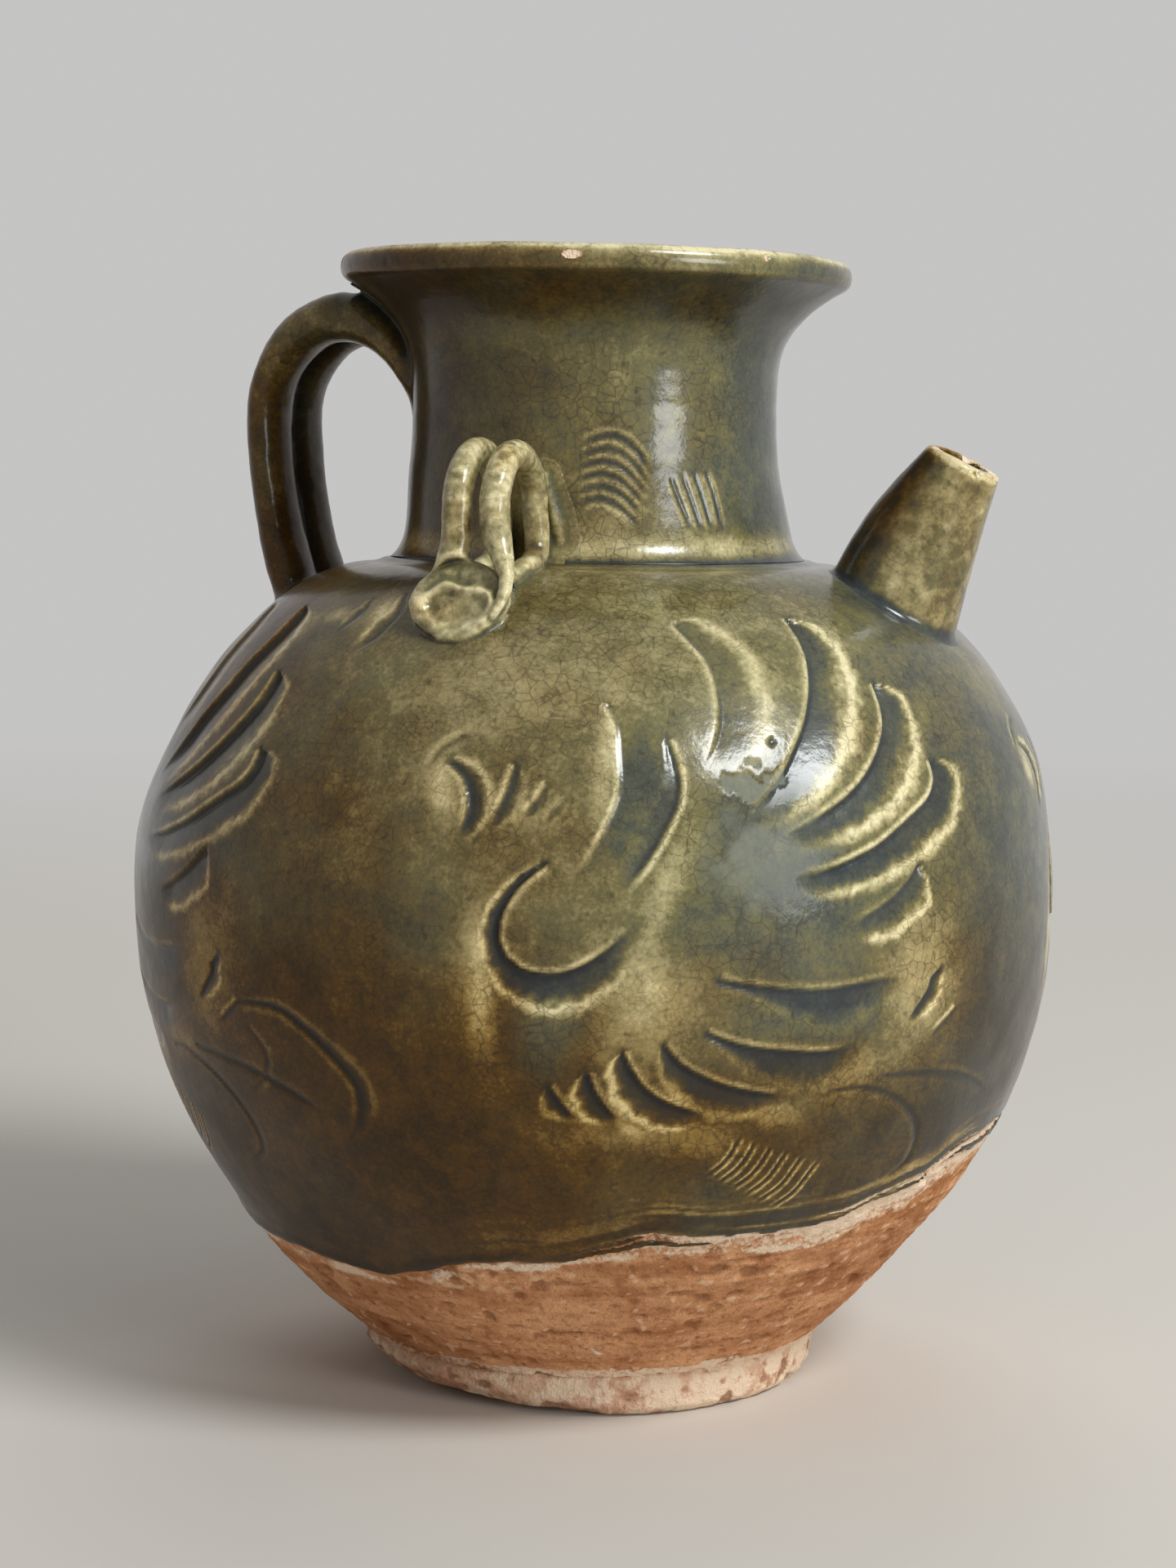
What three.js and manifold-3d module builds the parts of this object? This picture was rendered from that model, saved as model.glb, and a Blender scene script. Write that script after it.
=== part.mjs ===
// A stoneware ewer: a swelling thrown body on a low foot ring, a neck with a flared mouth, a short spout,
// a handle of two strands side by side, and two lugs of paired loops. Millimetres, +Z up, the origin at the
// centre of the foot plane. The spout points along +X, the handle along -X, the lugs along -Y and +Y.
import * as THREE from "three";
import * as BufferGeometryUtils from "three/addons/utils/BufferGeometryUtils.js";
import Module from "manifold-3d";

const wasm = await Module();
wasm.setup();

// Foot
const footRadius = 40.2;
const footHeight = 7.5;
const footRingWidth = 11.0;
const footBevel = 1.6;
const footShoulderBevel = 0.8;
const footRecess = 4.0;

// Body, luted together from three thrown bands
const bodyStartRadius = 40.6;
const glazeLineHeight = 34.0;
const bellyRadius = 80.4;
const bellyHeight = 86.0;
const shoulderTopRadius = 40.5;
const shoulderTopHeight = 142.0;
const collarRadius = 35.2;
const collarHeight = 145.0;
const collarSoftness = 0.6;
const floorThickness = 9.5;
const baseWall = 5.4;
const bellyWall = 4.6;
const shoulderWall = 4.6;

// Neck and mouth
const neckFootRadius = 34.4;
const neckWaistRadius = 31.8;
const totalHeight = 195.0;
const flareHeight = 25.0;
const neckWaistHeight = totalHeight - flareHeight;
const neckWall = 4.2;
const lipRadius = 44.5;
const lipThickness = 4.4;
const lipOverhang = 0.9;
const lipRounding = 1.8;
const mouthRadius = 41.0;
const mouthRounding = 0.8;

// Spout, which stands this far in from the widest radius of the belly
const spoutInset = 26.2;
const spoutFootDistance = bellyRadius - spoutInset;
const spoutTilt = THREE.MathUtils.degToRad(25.7);
const spoutLength = 26.8;
const spoutFootRadius = 11.6;
const spoutTipRadius = 6.3;
const spoutBulge = 0.5;
const spoutBoreFootRadius = 7.6;
const spoutBoreTipRadius = 3.9;
const pourHoleRadius = 5.0;

// Handle, with its places given from the belly's widest radius inwards and from the mouth downwards
const handleStrandWidth = 11.6;
const handleStrandThickness = 7.4;
const handleStrandSpacing = 12.0;
const handleFootInset = 25.4;
const handleBowInset = 19.0;
const handleBowDrop = 28.0;
const handleCrownStandoff = 14.9;
const handleCrownDrop = 9.7;
const handleLandingDrop = 31.0;
const handleFootDistance = bellyRadius - handleFootInset;
const handleBowDistance = bellyRadius - handleBowInset;
const handleBowHeight = totalHeight - handleBowDrop;
const handleCrownDistance = neckWaistRadius + handleCrownStandoff;
const handleCrownHeight = totalHeight - handleCrownDrop;
const handleLandingHeight = totalHeight - handleLandingDrop;

// Lugs, between the belly's widest radius and the foot of the neck, and rising from the shoulder's top
const lugStrandDiameter = 4.6;
const lugStrandSpacing = 6.4;
const lugFrontInset = 26.0;
const lugBackStandoff = 2.8;
const lugRise = 21.6;
const lugFrontDistance = bellyRadius - lugFrontInset;
const lugBackDistance = neckFootRadius + lugBackStandoff;
const lugTopHeight = shoulderTopHeight + lugRise;
const lugArchRise = 9.5;
const lugPadOutset = 0.4;
const lugPadDistance = lugFrontDistance + lugPadOutset;
const lugPadRadius = 8.2;
const lugPadThickness = 2.8;
const lugPadShift = 1.2;

// Clearances and fineness
const jointGap = 0.3;
const sink = 6.0;
const turns = 56;
const strandSides = 14;

// Curve shapes of the thrown profile
const bellyFullness = 2.25;
const shoulderFullness = 0.6;
const neckTaper = 1.8;
const flareSweep = 3.3;
const mouthSweep = 2.6;
const roundPull = 0.5523;
const slantingPull = 0.5;

const glaze = material(0x665f3c, 0.22);
const paleGlaze = material(0x97906a, 0.25);
const bareBody = material(0x9c6a4a, 0.85);
const bareFoot = material(0xc7a590, 0.9);

function material(color, roughness) {
  return new THREE.MeshStandardMaterial({ color, roughness, metalness: 0 });
}

// Radius of the lower body at height z, from a start radius at a start height out to the widest plane
function lowerCurve(z, startRadius, startHeight, wideRadius) {
  const t = (z - startHeight) / (bellyHeight - startHeight);
  return startRadius + (wideRadius - startRadius) * (1 - (1 - t) ** bellyFullness);
}

// Radius of the shoulder at height z, from the widest plane in to an end radius at an end height
function upperCurve(z, wideRadius, endRadius, endHeight) {
  const t = (z - bellyHeight) / (endHeight - bellyHeight);
  return endRadius + (wideRadius - endRadius) * (1 - t * t) ** shoulderFullness;
}

// Height at which the shoulder's outer surface has the given radius
function shoulderHeightAt(radius) {
  const q = (radius - shoulderTopRadius) / (bellyRadius - shoulderTopRadius);
  const t = Math.sqrt(1 - q ** (1 / shoulderFullness));
  return bellyHeight + (shoulderTopHeight - bellyHeight) * t;
}

// Angle between the vertical and the shoulder's outward normal at the given radius
function shoulderSlopeAt(radius) {
  const step = 0.5;
  const drop = shoulderHeightAt(radius - step) - shoulderHeightAt(radius + step);
  return Math.atan2(drop, 2 * step);
}

// Points (radius, height) of a curve, evenly spaced in height
function sampled(curve, from, to, steps) {
  const points = [];
  for (let i = 0; i <= steps; i++) {
    const z = from + ((to - from) * i) / steps;
    points.push([curve(z), z]);
  }
  return points;
}

// As sampled, with the steps crowding towards the end height, where the shoulder turns level
function crowded(curve, from, to, steps) {
  const points = [];
  for (let i = 0; i <= steps; i++) {
    const z = from + (to - from) * Math.sin((Math.PI / 2) * (i / steps));
    points.push([curve(z), z]);
  }
  return points;
}

function outerLower(z) {
  return lowerCurve(z, bodyStartRadius, footHeight, bellyRadius);
}

function innerLower(z) {
  return lowerCurve(z, bodyStartRadius - baseWall / 2, footRecess + floorThickness, bellyRadius - bellyWall);
}

function outerUpper(z) {
  return upperCurve(z, bellyRadius, shoulderTopRadius, shoulderTopHeight);
}

const innerTopHeight = shoulderTopHeight - shoulderWall;
const innerTopRadius = shoulderTopRadius - shoulderWall;
const throatRadius = neckFootRadius - neckWall;

function innerUpper(z) {
  return upperCurve(z, bellyRadius - bellyWall, innerTopRadius, innerTopHeight);
}

// The hollow curve by which the shoulder rises to the foot of the neck
function collarCurve() {
  const start = new THREE.Vector2(shoulderTopRadius, shoulderTopHeight);
  const corner = new THREE.Vector2(collarRadius + collarSoftness, shoulderTopHeight);
  const end = new THREE.Vector2(collarRadius, collarHeight);
  const curve = new THREE.QuadraticBezierCurve(start, corner, end);
  return curve.getPoints(4).slice(1).map((p) => [p.x, p.y]);
}

const lipUnderside = totalHeight - lipThickness;

function neckOutside(z) {
  if (z <= neckWaistHeight) {
    const t = (neckWaistHeight - z) / (neckWaistHeight - collarHeight);
    return neckWaistRadius + (neckFootRadius - neckWaistRadius) * t ** neckTaper;
  }
  const t = (z - neckWaistHeight) / (lipUnderside - neckWaistHeight);
  return neckWaistRadius + (lipRadius - lipOverhang - neckWaistRadius) * t ** flareSweep;
}

function neckInside(z) {
  const waist = neckWaistRadius - neckWall;
  if (z <= neckWaistHeight) {
    return neckOutside(z) - neckWall;
  }
  const t = (z - neckWaistHeight) / (totalHeight - neckWaistHeight);
  return waist + (mouthRadius - waist) * t ** mouthSweep;
}

// Turns points (radius, height) about the Z axis. The outline runs up its outer side, so faces point out.
function turned(outline, sides = turns) {
  const points = outline.map(([radius, height]) => new THREE.Vector2(Math.max(radius, 0), height));
  const geometry = new THREE.LatheGeometry(points, sides);
  geometry.rotateX(Math.PI / 2);
  return geometry;
}

// An outline that closes on itself, for a ring or a shell
function closedRing(outline, sides = turns) {
  return turned([...outline, outline[0]], sides);
}

function asSolid(geometry, matrix = new THREE.Matrix4()) {
  const bare = geometry.clone().applyMatrix4(matrix);
  bare.deleteAttribute("normal");
  bare.deleteAttribute("uv");
  const merged = BufferGeometryUtils.mergeVertices(bare, 1e-4);
  return new wasm.Manifold(
    new wasm.Mesh({
      numProp: 3,
      vertProperties: merged.getAttribute("position").array,
      triVerts: new Uint32Array(withoutSlivers(merged.getIndex().array)),
    }),
  );
}

// Leaves out the triangles that merging has folded to a line, as at a lathe's poles
function withoutSlivers(index) {
  const kept = [];
  for (let i = 0; i < index.length; i += 3) {
    const [a, b, c] = [index[i], index[i + 1], index[i + 2]];
    if (a !== b && b !== c && c !== a) {
      kept.push(a, b, c);
    }
  }
  return kept;
}

function asGeometry(solid) {
  const mesh = solid.getMesh();
  const geometry = new THREE.BufferGeometry();
  geometry.setAttribute("position", new THREE.BufferAttribute(new Float32Array(mesh.vertProperties), 3));
  geometry.setIndex(new THREE.BufferAttribute(new Uint32Array(mesh.triVerts), 1));
  geometry.computeVertexNormals();
  return geometry;
}

function named(name, geometry, finish) {
  const mesh = new THREE.Mesh(geometry, finish);
  mesh.name = name;
  return mesh;
}

// The body's outer skin as one filled solid, grown outward by a margin, for trimming what is luted onto it
function bodyCutter(margin) {
  const outline = [
    [0, glazeLineHeight],
    ...sampled(outerLower, glazeLineHeight, bellyHeight, 8),
    ...crowded(outerUpper, bellyHeight, shoulderTopHeight, 16).slice(1),
    ...collarCurve(),
    [0, collarHeight],
  ];
  return asSolid(turned(outline.map((point, i) => grown(outline, i, margin))));
}

function neckCutter(margin) {
  const outline = [
    [0, collarHeight],
    ...sampled(neckOutside, collarHeight, lipUnderside, 18),
    [0, lipUnderside],
  ];
  return asSolid(turned(outline.map((point, i) => grown(outline, i, margin))));
}

// Moves a point of an outline along the outline's normal; the two points on the axis move along it
function grown(outline, i, margin) {
  const [radius, height] = outline[i];
  if (i === 0 || i === outline.length - 1) {
    return [0, height + (i === 0 ? -margin : margin)];
  }
  const before = outline[Math.max(i - 1, 1)];
  const after = outline[Math.min(i + 1, outline.length - 2)];
  const run = new THREE.Vector2(after[0] - before[0], after[1] - before[1]).normalize();
  const end = i === 1 ? -margin : i === outline.length - 2 ? margin : 0;
  return [radius + run.y * margin, height - run.x * margin + end];
}

function footRing() {
  const innerRadius = footRadius - footRingWidth;
  const outline = [
    [innerRadius, 0],
    [footRadius - footBevel, 0],
    [footRadius, footBevel],
    [footRadius, footHeight - footShoulderBevel],
    [footRadius - footShoulderBevel, footHeight],
    [innerRadius, footHeight],
  ];
  return named("foot_ring", closedRing(outline), bareFoot);
}

// The unglazed lowest band, with the floor and the boss that sits inside the foot ring
function lowerWall() {
  const bossRadius = footRadius - footRingWidth - jointGap;
  const floorTop = footRecess + floorThickness;
  const outline = [
    [0, footRecess],
    [bossRadius, footRecess],
    [bossRadius, footHeight],
    ...sampled(outerLower, footHeight, glazeLineHeight, 5),
    ...sampled(innerLower, floorTop, glazeLineHeight, 5).reverse(),
    [0, floorTop],
  ];
  return named("lower_wall", turned(outline), bareBody);
}

function belly() {
  const outline = [
    ...sampled(outerLower, glazeLineHeight, bellyHeight, 7),
    ...sampled(innerLower, glazeLineHeight, bellyHeight, 6).reverse(),
  ];
  return named("belly", closedRing(outline), glaze);
}

// Places a shape that is made along +Z so that it stands on the shoulder at the spout
function spoutPlace() {
  const matrix = new THREE.Matrix4().makeRotationY(spoutTilt);
  matrix.setPosition(spoutFootDistance, 0, shoulderHeightAt(spoutFootDistance));
  return matrix;
}

function shoulder() {
  const outline = [
    ...crowded(outerUpper, bellyHeight, shoulderTopHeight, 11),
    ...collarCurve(),
    [throatRadius, collarHeight],
    [throatRadius, innerTopHeight],
    ...crowded(innerUpper, bellyHeight, innerTopHeight, 8).reverse(),
  ];
  const pourHole = new THREE.CylinderGeometry(pourHoleRadius, pourHoleRadius, 4 * shoulderWall, 20);
  pourHole.rotateX(Math.PI / 2);
  const solid = asSolid(closedRing(outline)).subtract(asSolid(pourHole, spoutPlace()));
  return named("shoulder", asGeometry(solid), glaze);
}

function neck() {
  const lipMiddle = totalHeight - lipThickness / 2;
  const outline = [
    ...sampled(neckOutside, collarHeight, neckWaistHeight, 4),
    ...sampled(neckOutside, neckWaistHeight, lipUnderside, 8).slice(1),
    [lipRadius, lipMiddle],
    [lipRadius - lipRounding / 4, totalHeight - lipRounding / 3],
    [lipRadius - lipRounding, totalHeight],
    ...sampled(neckInside, neckWaistHeight, totalHeight - mouthRounding, 7).reverse(),
    [throatRadius, collarHeight],
  ];
  return named("neck", closedRing(outline), glaze);
}

function spout() {
  const taper = (s) => {
    const t = s / spoutLength;
    const bulge = spoutBulge * 4 * t * (1 - t);
    return spoutFootRadius + (spoutTipRadius - spoutFootRadius) * t + bulge;
  };
  const outside = [[0, -sink], ...sampled(taper, -sink, spoutLength, 7), [0, spoutLength]];
  const bore = [
    [0, -2 * sink],
    [spoutBoreFootRadius, -2 * sink],
    [spoutBoreFootRadius, 0],
    [spoutBoreTipRadius, spoutLength + 1],
    [0, spoutLength + 1],
  ];
  const solid = asSolid(turned(outside, 28), spoutPlace())
    .subtract(asSolid(turned(bore, 20), spoutPlace()))
    .subtract(bodyCutter(jointGap));
  return named("spout", asGeometry(solid), paleGlaze);
}

// A point of a curve drawn in the upright plane y = 0
function upright(distance, height) {
  return new THREE.Vector3(distance, 0, height);
}

// A quarter turn in the upright plane that leaves the start vertically, if rising is set, or else level.
// The default pull gives a quarter ellipse, and a smaller one a more slanting curve.
function quarter(start, end, rising, pull = roundPull) {
  const corner = rising ? upright(start.x, end.z) : upright(end.x, start.z);
  const first = start.clone().lerp(corner, pull);
  const second = end.clone().lerp(corner, pull);
  return new THREE.CubicBezierCurve3(start, first, second, end);
}

// A strand of oval section along a path in the upright plane, shifted sideways
function strand(path, width, thickness, steps, sideways) {
  const section = new THREE.Shape();
  section.absellipse(0, 0, width / 2, thickness / 2, 0, 2 * Math.PI, false, 0);
  const oval = new THREE.Shape(section.getSpacedPoints(strandSides).slice(0, -1));
  const geometry = new THREE.ExtrudeGeometry(oval, { steps, extrudePath: path, bevelEnabled: false });
  return asSolid(geometry, new THREE.Matrix4().makeTranslation(0, sideways, 0));
}

// The middle line of the handle, drawn outwards along +X and later turned to face -X
function handlePath() {
  const footHeightHere = shoulderHeightAt(handleFootDistance);
  const foot = upright(handleFootDistance, footHeightHere - sink / 2);
  const bow = upright(handleBowDistance, handleBowHeight);
  const crown = upright(handleCrownDistance, handleCrownHeight);
  const neckSkin = neckOutside(handleLandingHeight);
  const landing = upright(neckSkin - handleStrandThickness / 2, handleLandingHeight);
  const sunken = upright(neckSkin - handleStrandThickness, handleLandingHeight - sink);
  const below = upright(handleBowDistance, (footHeightHere + handleBowHeight) / 2);
  const path = new THREE.CurvePath();
  path.add(new THREE.QuadraticBezierCurve3(foot, below, bow));
  path.add(quarter(bow, crown, true));
  path.add(quarter(crown, landing, false, slantingPull));
  path.add(new THREE.LineCurve3(landing, sunken));
  return path;
}

function handleStrands() {
  const handle = new THREE.Group();
  handle.rotation.z = Math.PI;
  const path = handlePath();
  const trim = bodyCutter(jointGap).add(neckCutter(jointGap));
  for (const [name, side] of [["handle_strand_front", 1], ["handle_strand_back", -1]]) {
    const offset = (side * handleStrandSpacing) / 2;
    const solid = strand(path, handleStrandWidth, handleStrandThickness, 34, offset).subtract(trim);
    handle.add(named(name, asGeometry(solid), glaze));
  }
  return handle;
}

function lugPath() {
  const radius = lugStrandDiameter / 2;
  const spring = lugTopHeight - radius - lugArchRise;
  const middle = (lugFrontDistance + lugBackDistance) / 2;
  const front = upright(lugFrontDistance, spring);
  const top = upright(middle, spring + lugArchRise);
  const back = upright(lugBackDistance, spring);
  const frontFoot = upright(lugFrontDistance, shoulderHeightAt(lugFrontDistance) - sink / 2);
  const backFoot = upright(shoulderTopRadius, shoulderTopHeight - sink / 2);
  const backBend = upright(lugBackDistance, shoulderTopHeight + sink / 2);
  const path = new THREE.CurvePath();
  path.add(new THREE.LineCurve3(frontFoot, front));
  path.add(quarter(front, top, true));
  path.add(quarter(top, back, false));
  path.add(new THREE.QuadraticBezierCurve3(back, backBend, backFoot));
  return path;
}

// The round cake of clay pressed onto the shoulder under the outer legs, grown by a margin on its top and edge
function padSolid(margin) {
  const cake = new THREE.CylinderGeometry(lugPadRadius + margin, lugPadRadius + margin, 4 * sink, 28);
  cake.rotateX(Math.PI / 2);
  const lean = new THREE.Matrix4().makeRotationY(shoulderSlopeAt(lugPadDistance));
  lean.setPosition(lugPadDistance, -lugPadShift, shoulderHeightAt(lugPadDistance));
  return asSolid(cake, lean).intersect(bodyCutter(lugPadThickness + margin));
}

function lug(place, turn) {
  const group = new THREE.Group();
  group.rotation.z = turn;
  const body = bodyCutter(jointGap);
  const path = lugPath();
  const trim = body.add(neckCutter(jointGap)).add(padSolid(jointGap));
  for (const [side, offset] of [["left", -lugStrandSpacing / 2], ["right", lugStrandSpacing / 2]]) {
    const loop = strand(path, lugStrandDiameter, lugStrandDiameter, 26, offset).subtract(trim);
    group.add(named(`lug_${place}_${side}_loop`, asGeometry(loop), paleGlaze));
  }
  group.add(named(`lug_${place}_pad`, asGeometry(padSolid(0).subtract(body)), paleGlaze));
  return group;
}

const group = new THREE.Group();
group.add(footRing(), lowerWall(), belly(), shoulder(), neck(), spout());
group.add(handleStrands());
group.add(lug("front", -Math.PI / 2), lug("back", Math.PI / 2));

export default group;
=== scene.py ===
"""A glazed stoneware ewer with carved strokes, dressed over the frame of its solids."""

import itertools
import math

import bmesh
import bpy
import numpy as np
from mathutils import Matrix, Vector


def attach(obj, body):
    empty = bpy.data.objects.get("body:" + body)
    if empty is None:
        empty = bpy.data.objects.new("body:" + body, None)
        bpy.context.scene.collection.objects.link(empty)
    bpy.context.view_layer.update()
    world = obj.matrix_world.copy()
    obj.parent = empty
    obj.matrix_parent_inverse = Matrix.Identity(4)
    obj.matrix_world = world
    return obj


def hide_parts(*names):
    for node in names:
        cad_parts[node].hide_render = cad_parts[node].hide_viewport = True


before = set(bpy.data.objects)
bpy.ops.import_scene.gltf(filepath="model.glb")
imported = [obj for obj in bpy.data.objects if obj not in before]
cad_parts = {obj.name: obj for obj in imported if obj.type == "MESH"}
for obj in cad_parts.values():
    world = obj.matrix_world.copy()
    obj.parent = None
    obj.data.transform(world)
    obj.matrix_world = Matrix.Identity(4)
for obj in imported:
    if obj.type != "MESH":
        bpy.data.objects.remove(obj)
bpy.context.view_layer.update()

MM = 0.001

# The view: distances in mm and angles in degrees, for a picture of 1440 by 1920 pixels
VIEW_AZIMUTH = 21.0
CAMERA_DISTANCE = 536.5
CAMERA_HEIGHT = 159.2
CAMERA_PITCH = 5.964
CAMERA_PAN = -0.129
CAMERA_ROLL = -0.652
PICTURE_WIDTH = 1440
PICTURE_HEIGHT = 1920
FOCAL_PIXELS = 3720.0
SENSOR = 36.0

# The thrown form, in mm, as in the solids
FOOT_RADIUS = 40.2
FOOT_HEIGHT = 7.5
FOOT_RING_WIDTH = 11.0
FOOT_RECESS = 4.0
BODY_START_RADIUS = 40.6
GLAZE_LINE_HEIGHT = 34.0
BELLY_RADIUS = 80.4
BELLY_HEIGHT = 86.0
SHOULDER_TOP_RADIUS = 40.5
SHOULDER_TOP_HEIGHT = 142.0
COLLAR_HEIGHT = 145.0
SEAM = (36.5, 143.2)
FLOOR_TOP = 13.5
BASE_WALL = 5.4
BODY_WALL = 4.6
NECK_FOOT_RADIUS = 34.4
NECK_WAIST_RADIUS = 31.8
NECK_WAIST_HEIGHT = 170.0
NECK_WALL = 4.2
LIP_RADIUS = 44.5
LIP_THICKNESS = 4.4
LIP_OVERHANG = 0.9
MOUTH_RADIUS = 41.0
TOTAL_HEIGHT = 195.0
BELLY_FULLNESS = 2.25
SHOULDER_FULLNESS = 0.6
NECK_TAPER = 1.8
FLARE_SWEEP = 3.3
MOUTH_SWEEP = 2.6

# Fineness: columns around the body and the neck, and the spacing of rows in mm
BODY_COLUMNS = 960
NECK_COLUMNS = 760
ROW_SPACING = 0.5
VOXEL = 0.36


# Noise and curves

def unit(value):
    return np.clip(value, 0, 1)


def hill(distance, width):
    """A bell curve that is 1 where the distance is 0."""
    return np.exp(-(distance / width) ** 2)


def smoothstep(low, high, value):
    return eased(unit((value - low) / (high - low)))


def eased(t):
    return t * t * (3 - 2 * t)


def cell_value(i, j, k, seed):
    """A repeatable random number between -1 and 1 for each cell of a lattice."""
    mask = 0xFFFFFFFF
    h = (i * 374761393 + j * 668265263 + k * 1442695041 + seed * 1274126177) & mask
    h = ((h ^ (h >> 13)) * 1103515245) & mask
    h = ((h ^ (h >> 15)) * 2246822519) & mask
    return ((h ^ (h >> 16)) & 0xFFFF) / 32767.5 - 1


def noise(points, cell, seed):
    """Smooth noise between -1 and 1 at points (..., 3) in mm, with features the size of cell."""
    scaled = points / np.asarray(cell, float)
    base = np.floor(scaled).astype(np.int64)
    f = eased(scaled - base)
    total = np.zeros(points.shape[:-1])
    for step in itertools.product((0, 1), repeat=3):
        wi, wj, wk = (f[..., k] if step[k] else 1 - f[..., k] for k in range(3))
        i, j, k = (base[..., k] + step[k] for k in range(3))
        total += wi * wj * wk * cell_value(i, j, k, seed)
    return total


def around(angle, *knots):
    """A value that runs smoothly around the jug through knots (angle in degrees, value)."""
    angles, values = np.array(sorted(knots), float).T
    angles = np.concatenate([[angles[-1] - 360], angles, [angles[0] + 360]])
    values = np.concatenate([values[-1:], values, values[:1]])
    turned = (np.asarray(angle) - angles[0]) % 360 + angles[0]
    index = np.clip(np.searchsorted(angles, turned, side="right") - 1, 0, len(angles) - 2)
    t = eased((turned - angles[index]) / (angles[index + 1] - angles[index]))
    return values[index] * (1 - t) + values[index + 1] * t


# The camera's geometry

def camera_axes():
    """Right, up and forward of the camera as unit vectors, and its place in mm."""
    pitch, pan, roll, a = (math.radians(v) for v in (CAMERA_PITCH, CAMERA_PAN, CAMERA_ROLL, VIEW_AZIMUTH))
    level = np.array([math.sin(pan), math.cos(pan), 0])
    side = np.array([math.cos(pan), -math.sin(pan), 0])
    zenith = np.array([0, 0, 1])
    forward = level * math.cos(pitch) - zenith * math.sin(pitch)
    upright = level * math.sin(pitch) + zenith * math.cos(pitch)
    right = side * math.cos(roll) - upright * math.sin(roll)
    up = side * math.sin(roll) + upright * math.cos(roll)
    turn = np.array([[math.cos(a), -math.sin(a), 0], [math.sin(a), math.cos(a), 0], [0, 0, 1]])
    place = turn @ np.array([0, -CAMERA_DISTANCE, CAMERA_HEIGHT])
    return turn @ right, turn @ up, turn @ forward, place


RIGHT, UP, FORWARD, EYE = camera_axes()


def to_picture(points):
    """Pixels (x, y) at which the camera sees points (..., 3) in mm."""
    v = points - EYE
    depth = v @ FORWARD
    x = PICTURE_WIDTH / 2 + FOCAL_PIXELS * (v @ RIGHT) / depth
    y = PICTURE_HEIGHT / 2 - FOCAL_PIXELS * (v @ UP) / depth
    return x, y


# The thrown profile

def outer_lower(z):
    t = (z - FOOT_HEIGHT) / (BELLY_HEIGHT - FOOT_HEIGHT)
    return BODY_START_RADIUS + (BELLY_RADIUS - BODY_START_RADIUS) * (1 - (1 - t) ** BELLY_FULLNESS)


def outer_upper(z):
    t = (z - BELLY_HEIGHT) / (SHOULDER_TOP_HEIGHT - BELLY_HEIGHT)
    return SHOULDER_TOP_RADIUS + (BELLY_RADIUS - SHOULDER_TOP_RADIUS) * (1 - t * t) ** SHOULDER_FULLNESS


def inner_body(z):
    start, wide = BODY_START_RADIUS - BASE_WALL / 2, BELLY_RADIUS - BODY_WALL
    top, top_height = SHOULDER_TOP_RADIUS - BODY_WALL, SHOULDER_TOP_HEIGHT - BODY_WALL
    low = unit((z - FLOOR_TOP) / (BELLY_HEIGHT - FLOOR_TOP))
    high = unit((z - BELLY_HEIGHT) / (top_height - BELLY_HEIGHT))
    below = start + (wide - start) * (1 - (1 - low) ** BELLY_FULLNESS)
    above = top + (wide - top) * (1 - high * high) ** SHOULDER_FULLNESS
    return np.where(z < BELLY_HEIGHT, below, above)


def neck_outside(z):
    low = unit((NECK_WAIST_HEIGHT - z) / (NECK_WAIST_HEIGHT - COLLAR_HEIGHT))
    lip_bottom = TOTAL_HEIGHT - LIP_THICKNESS
    high = unit((z - NECK_WAIST_HEIGHT) / (lip_bottom - NECK_WAIST_HEIGHT))
    flare = LIP_RADIUS - LIP_OVERHANG - NECK_WAIST_RADIUS
    foot = NECK_FOOT_RADIUS - NECK_WAIST_RADIUS
    return NECK_WAIST_RADIUS + foot * low ** NECK_TAPER + flare * high ** FLARE_SWEEP


def neck_inside(z):
    waist = NECK_WAIST_RADIUS - NECK_WALL
    t = unit((z - NECK_WAIST_HEIGHT) / (TOTAL_HEIGHT - NECK_WAIST_HEIGHT))
    below = neck_outside(np.minimum(z, NECK_WAIST_HEIGHT)) - NECK_WALL
    return np.where(z < NECK_WAIST_HEIGHT, below, waist + (MOUTH_RADIUS - waist) * t ** MOUTH_SWEEP)


def bezier(start, corner, end, count):
    t = np.linspace(0, 1, count)[:, None]
    start, corner, end = (np.array(p, float) for p in (start, corner, end))
    return (1 - t) ** 2 * start + 2 * t * (1 - t) * corner + t * t * end


def resampled(outline, spacing):
    """Points evenly spaced along an outline of (radius, height), with the arc length at each."""
    outline = np.array(outline, float)
    arc = np.append(0, np.cumsum(np.linalg.norm(np.diff(outline, axis=0), axis=1)))
    even = np.linspace(0, arc[-1], max(2, round(arc[-1] / spacing) + 1))
    points = np.stack([np.interp(even, arc, outline[:, i]) for i in (0, 1)], axis=1)
    return points, even


def body_outline():
    low = np.linspace(FOOT_HEIGHT, BELLY_HEIGHT, 600)
    rise = np.sin(np.linspace(0, math.pi / 2, 600))[1:]
    high = BELLY_HEIGHT + (SHOULDER_TOP_HEIGHT - BELLY_HEIGHT) * rise
    collar = bezier((SHOULDER_TOP_RADIUS, SHOULDER_TOP_HEIGHT), (38.4, SHOULDER_TOP_HEIGHT), SEAM, 30)
    return np.vstack([np.stack([outer_lower(low), low], axis=1), np.stack([outer_upper(high), high], axis=1),
                      collar[1:]])


def neck_outline():
    z = np.linspace(148.5, TOTAL_HEIGHT - LIP_THICKNESS, 300)
    fillet = bezier(SEAM, (34.3, 144.8), (neck_outside(z[0]), z[0]), 30)
    return np.concatenate([fillet[:-1], np.stack([neck_outside(z), z], axis=1)])


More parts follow.
